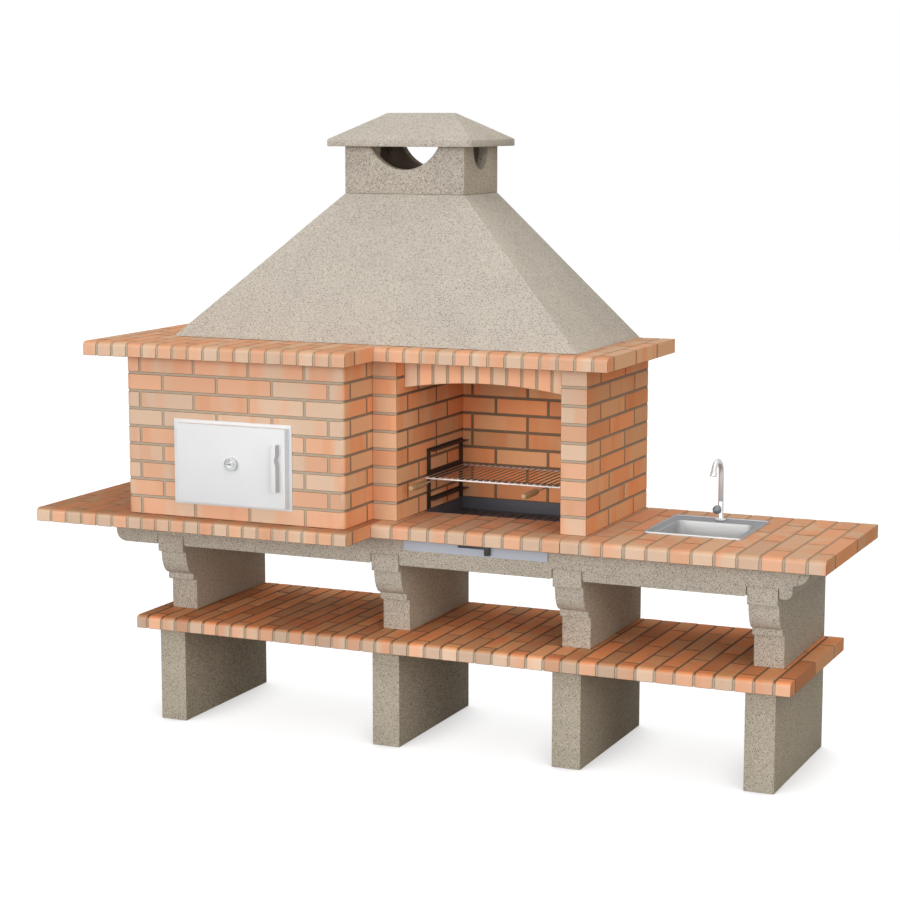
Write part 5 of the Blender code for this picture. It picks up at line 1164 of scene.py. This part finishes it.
def pulled(edges):
    """Extrudes edges. Gives the new corners and the new open edges."""
    made = bmesh.ops.extrude_edge_only(bm, edges=edges)["geom"]
    corners = [item for item in made if isinstance(item, bmesh.types.BMVert)]
    return corners, [item for item in made if isinstance(item, bmesh.types.BMEdge) and item.is_boundary]


bm = bmesh.new()
corners = [bm.verts.new((x, y, rim_top - BOWL_DEEP)) for x, y in rectangle(*bowl)]
bm.faces.new(corners)
bmesh.ops.bevel(bm, geom=corners, offset=BOWL_CORNER, affect="VERTICES", segments=8, profile=0.5, material=-1)
bottom_loop = list(bm.edges)
corners, lip_loop = pulled(bottom_loop)
for corner in corners:
    corner.co.z = rim_top
corners, foot_loop = pulled(lip_loop)
for corner in corners:
    corner.co.xy = outline_spot(corner.co, bowl, BOWL_CORNER, foot, RIM_CORNER / 2)
corners, crest_loop = pulled(foot_loop)
for corner in corners:
    corner.co.xy = outline_spot(corner.co, foot, RIM_CORNER / 2, crest, RIM_CORNER - BEAD_TOP)
    corner.co.z += BEAD_HEIGHT
corners, rim_loop = pulled(crest_loop)
for corner in corners:
    corner.co.xy = outline_spot(corner.co, crest, RIM_CORNER - BEAD_TOP, rim, RIM_CORNER)
for corner in pulled(rim_loop)[0]:
    corner.co.z = rim_under
rounded(bm, bottom_loop, BOWL_FILLET, 5)
rounded(bm, lip_loop, BOWL_LIP, 3)
rounded(bm, crest_loop, BEAD_ROUND, 2)
rounded(bm, rim_loop, BEAD_ROUND, 2)
bmesh.ops.recalc_face_normals(bm, faces=bm.faces)
bmesh.ops.solidify(bm, geom=bm.faces[:], thickness=SINK_SHEET)
finished("pressed_sink", bm, STAINLESS, "masonry", "stainless_steel", "sink_bowl")
dressed("strainer", "sink_waste", STAINLESS, "masonry", "stainless_steel", STRAINER_EDGE)

# Tap: a chromed pillar with a swivelling gooseneck, a dark ball knob at its
# front and a nut under the worktop.
TAP_CHROME = (0.68, 0.69, 0.70)
KNOB_COAT = (0.20, 0.225, 0.245)
PILLAR_EDGE = 0.0008
TAP_EDGE = 0.0006

CHROME = steel("chrome", TAP_CHROME, 0.30, strength=0.05, metallic=0.4)
KNOB_GREY = painted("knob_grey", KNOB_COAT, 0.35, 0.6)
dressed("tap_pillar", "tap_body", CHROME, "masonry", "tap_chrome", PILLAR_EDGE)
dressed("tap_gooseneck", "tap_spout", CHROME, "tap_spout", "tap_chrome", TAP_EDGE)
dressed("tap_ball", "tap_knob", KNOB_GREY, "tap_knob", "knob_plastic", TAP_EDGE)
dressed("tap_backnut", "tap_nut", CHROME, "masonry", "tap_chrome", TAP_EDGE)

# Oven flue: a round pipe of sheet steel with the ember tray's coating. It
# stands on the oven's arch and ends inside the hood.
FLUE_EDGE = 0.0004

dressed("flue_pipe", "oven_flue", TRAY_SLATE, "masonry", "dark_steel", FLUE_EDGE)

# Studio: a wide pale floor, two broad low lights from the front, one from
# above, a faint even sky and the photograph's camera. Each light is given by
# its turn and height in degrees, its strength and its spread in degrees.
FLOOR_HALF = 30.0
FLOOR_TONE = 0.35
FLOOR_LIFT = 0.86
SHADOW_REACH = 0.34
SHADOW_SHARE = 0.60
SKY_LEVEL = 0.10
LIGHTS = {
    "front_left_light": (-12, 5, 1.9, 35),
    "front_right_light": (46, 10, 1.4, 60),
    "top_light": (0, 88, 1.75, 90),
}
CAMERA_PLACE = (3.2966, -7.4454, 2.3309)
CAMERA_TURN = (math.pi / 2 - 0.1501, 0.0, 0.4170)
CAMERA_LENS = 89.04
CAMERA_SENSOR = 36.0


def seen_of(tree):
    """1 for what the camera sees, straight, mirrored or through glass, and 0 for light on things."""
    path = add_node(tree, "LightPath").outputs
    indirect = math_of(tree, "MAXIMUM", path["Is Glossy Ray"], path["Is Transmission Ray"])
    return math_of(tree, "MAXIMUM", path["Is Camera Ray"], indirect)


bm = bmesh.new()
bmesh.ops.create_grid(bm, x_segments=1, y_segments=1, size=FLOOR_HALF)
floor_mesh = bpy.data.meshes.new("studio_floor")
bm.to_mesh(floor_mesh)
bm.free()
floor = bpy.data.objects.new("studio_floor", floor_mesh)
bpy.context.collection.objects.link(floor)
white = {"Specular_IOR_Level": 0.0, "Base_Color": gray(FLOOR_TONE), "Emission_Color": gray(1.0)}
FLOOR_WHITE, tree, shader = new_material("floor_white", roughness=1.0, **white)
# Near the object, ambient occlusion dims the floor's glow for the camera: a painted contact shadow.
near = add_node(tree, "AmbientOcclusion", {"Distance": SHADOW_REACH}, samples=16).outputs["AO"]
near = step_of(tree, near, 0.2, 0.85)
least_lift = FLOOR_LIFT * (1 - SHADOW_SHARE)
lift = math_of(tree, "MULTIPLY_ADD", near, FLOOR_LIFT - least_lift, least_lift)
tree.links.new(product(tree, seen_of(tree), lift), shader.inputs["Emission Strength"])
floor_mesh.materials.append(FLOOR_WHITE)

for name, (turn, height, strength, spread) in LIGHTS.items():
    lamp = bpy.data.lights.new(name, "SUN")
    lamp.energy = strength
    lamp.angle = math.radians(spread)
    light = bpy.data.objects.new(name, lamp)
    light.rotation_euler = (math.radians(90 - height), 0, math.radians(turn))
    bpy.context.collection.objects.link(light)

world = bpy.data.worlds.new("studio")
bpy.context.scene.world = world
world.use_nodes = True
tree = world.node_tree
sky = tree.nodes["Background"]
level = math_of(tree, "MULTIPLY_ADD", seen_of(tree), 1.0 - SKY_LEVEL, SKY_LEVEL)
sky.inputs["Color"].default_value = gray(1.0)
tree.links.new(level, sky.inputs["Strength"])

lens = bpy.data.cameras.new("camera")
lens.lens = CAMERA_LENS
lens.sensor_width = CAMERA_SENSOR
camera = bpy.data.objects.new("camera", lens)
camera.location = CAMERA_PLACE
camera.rotation_euler = CAMERA_TURN
bpy.context.collection.objects.link(camera)
bpy.context.scene.camera = camera
bpy.context.scene.view_settings.view_transform = "Standard"
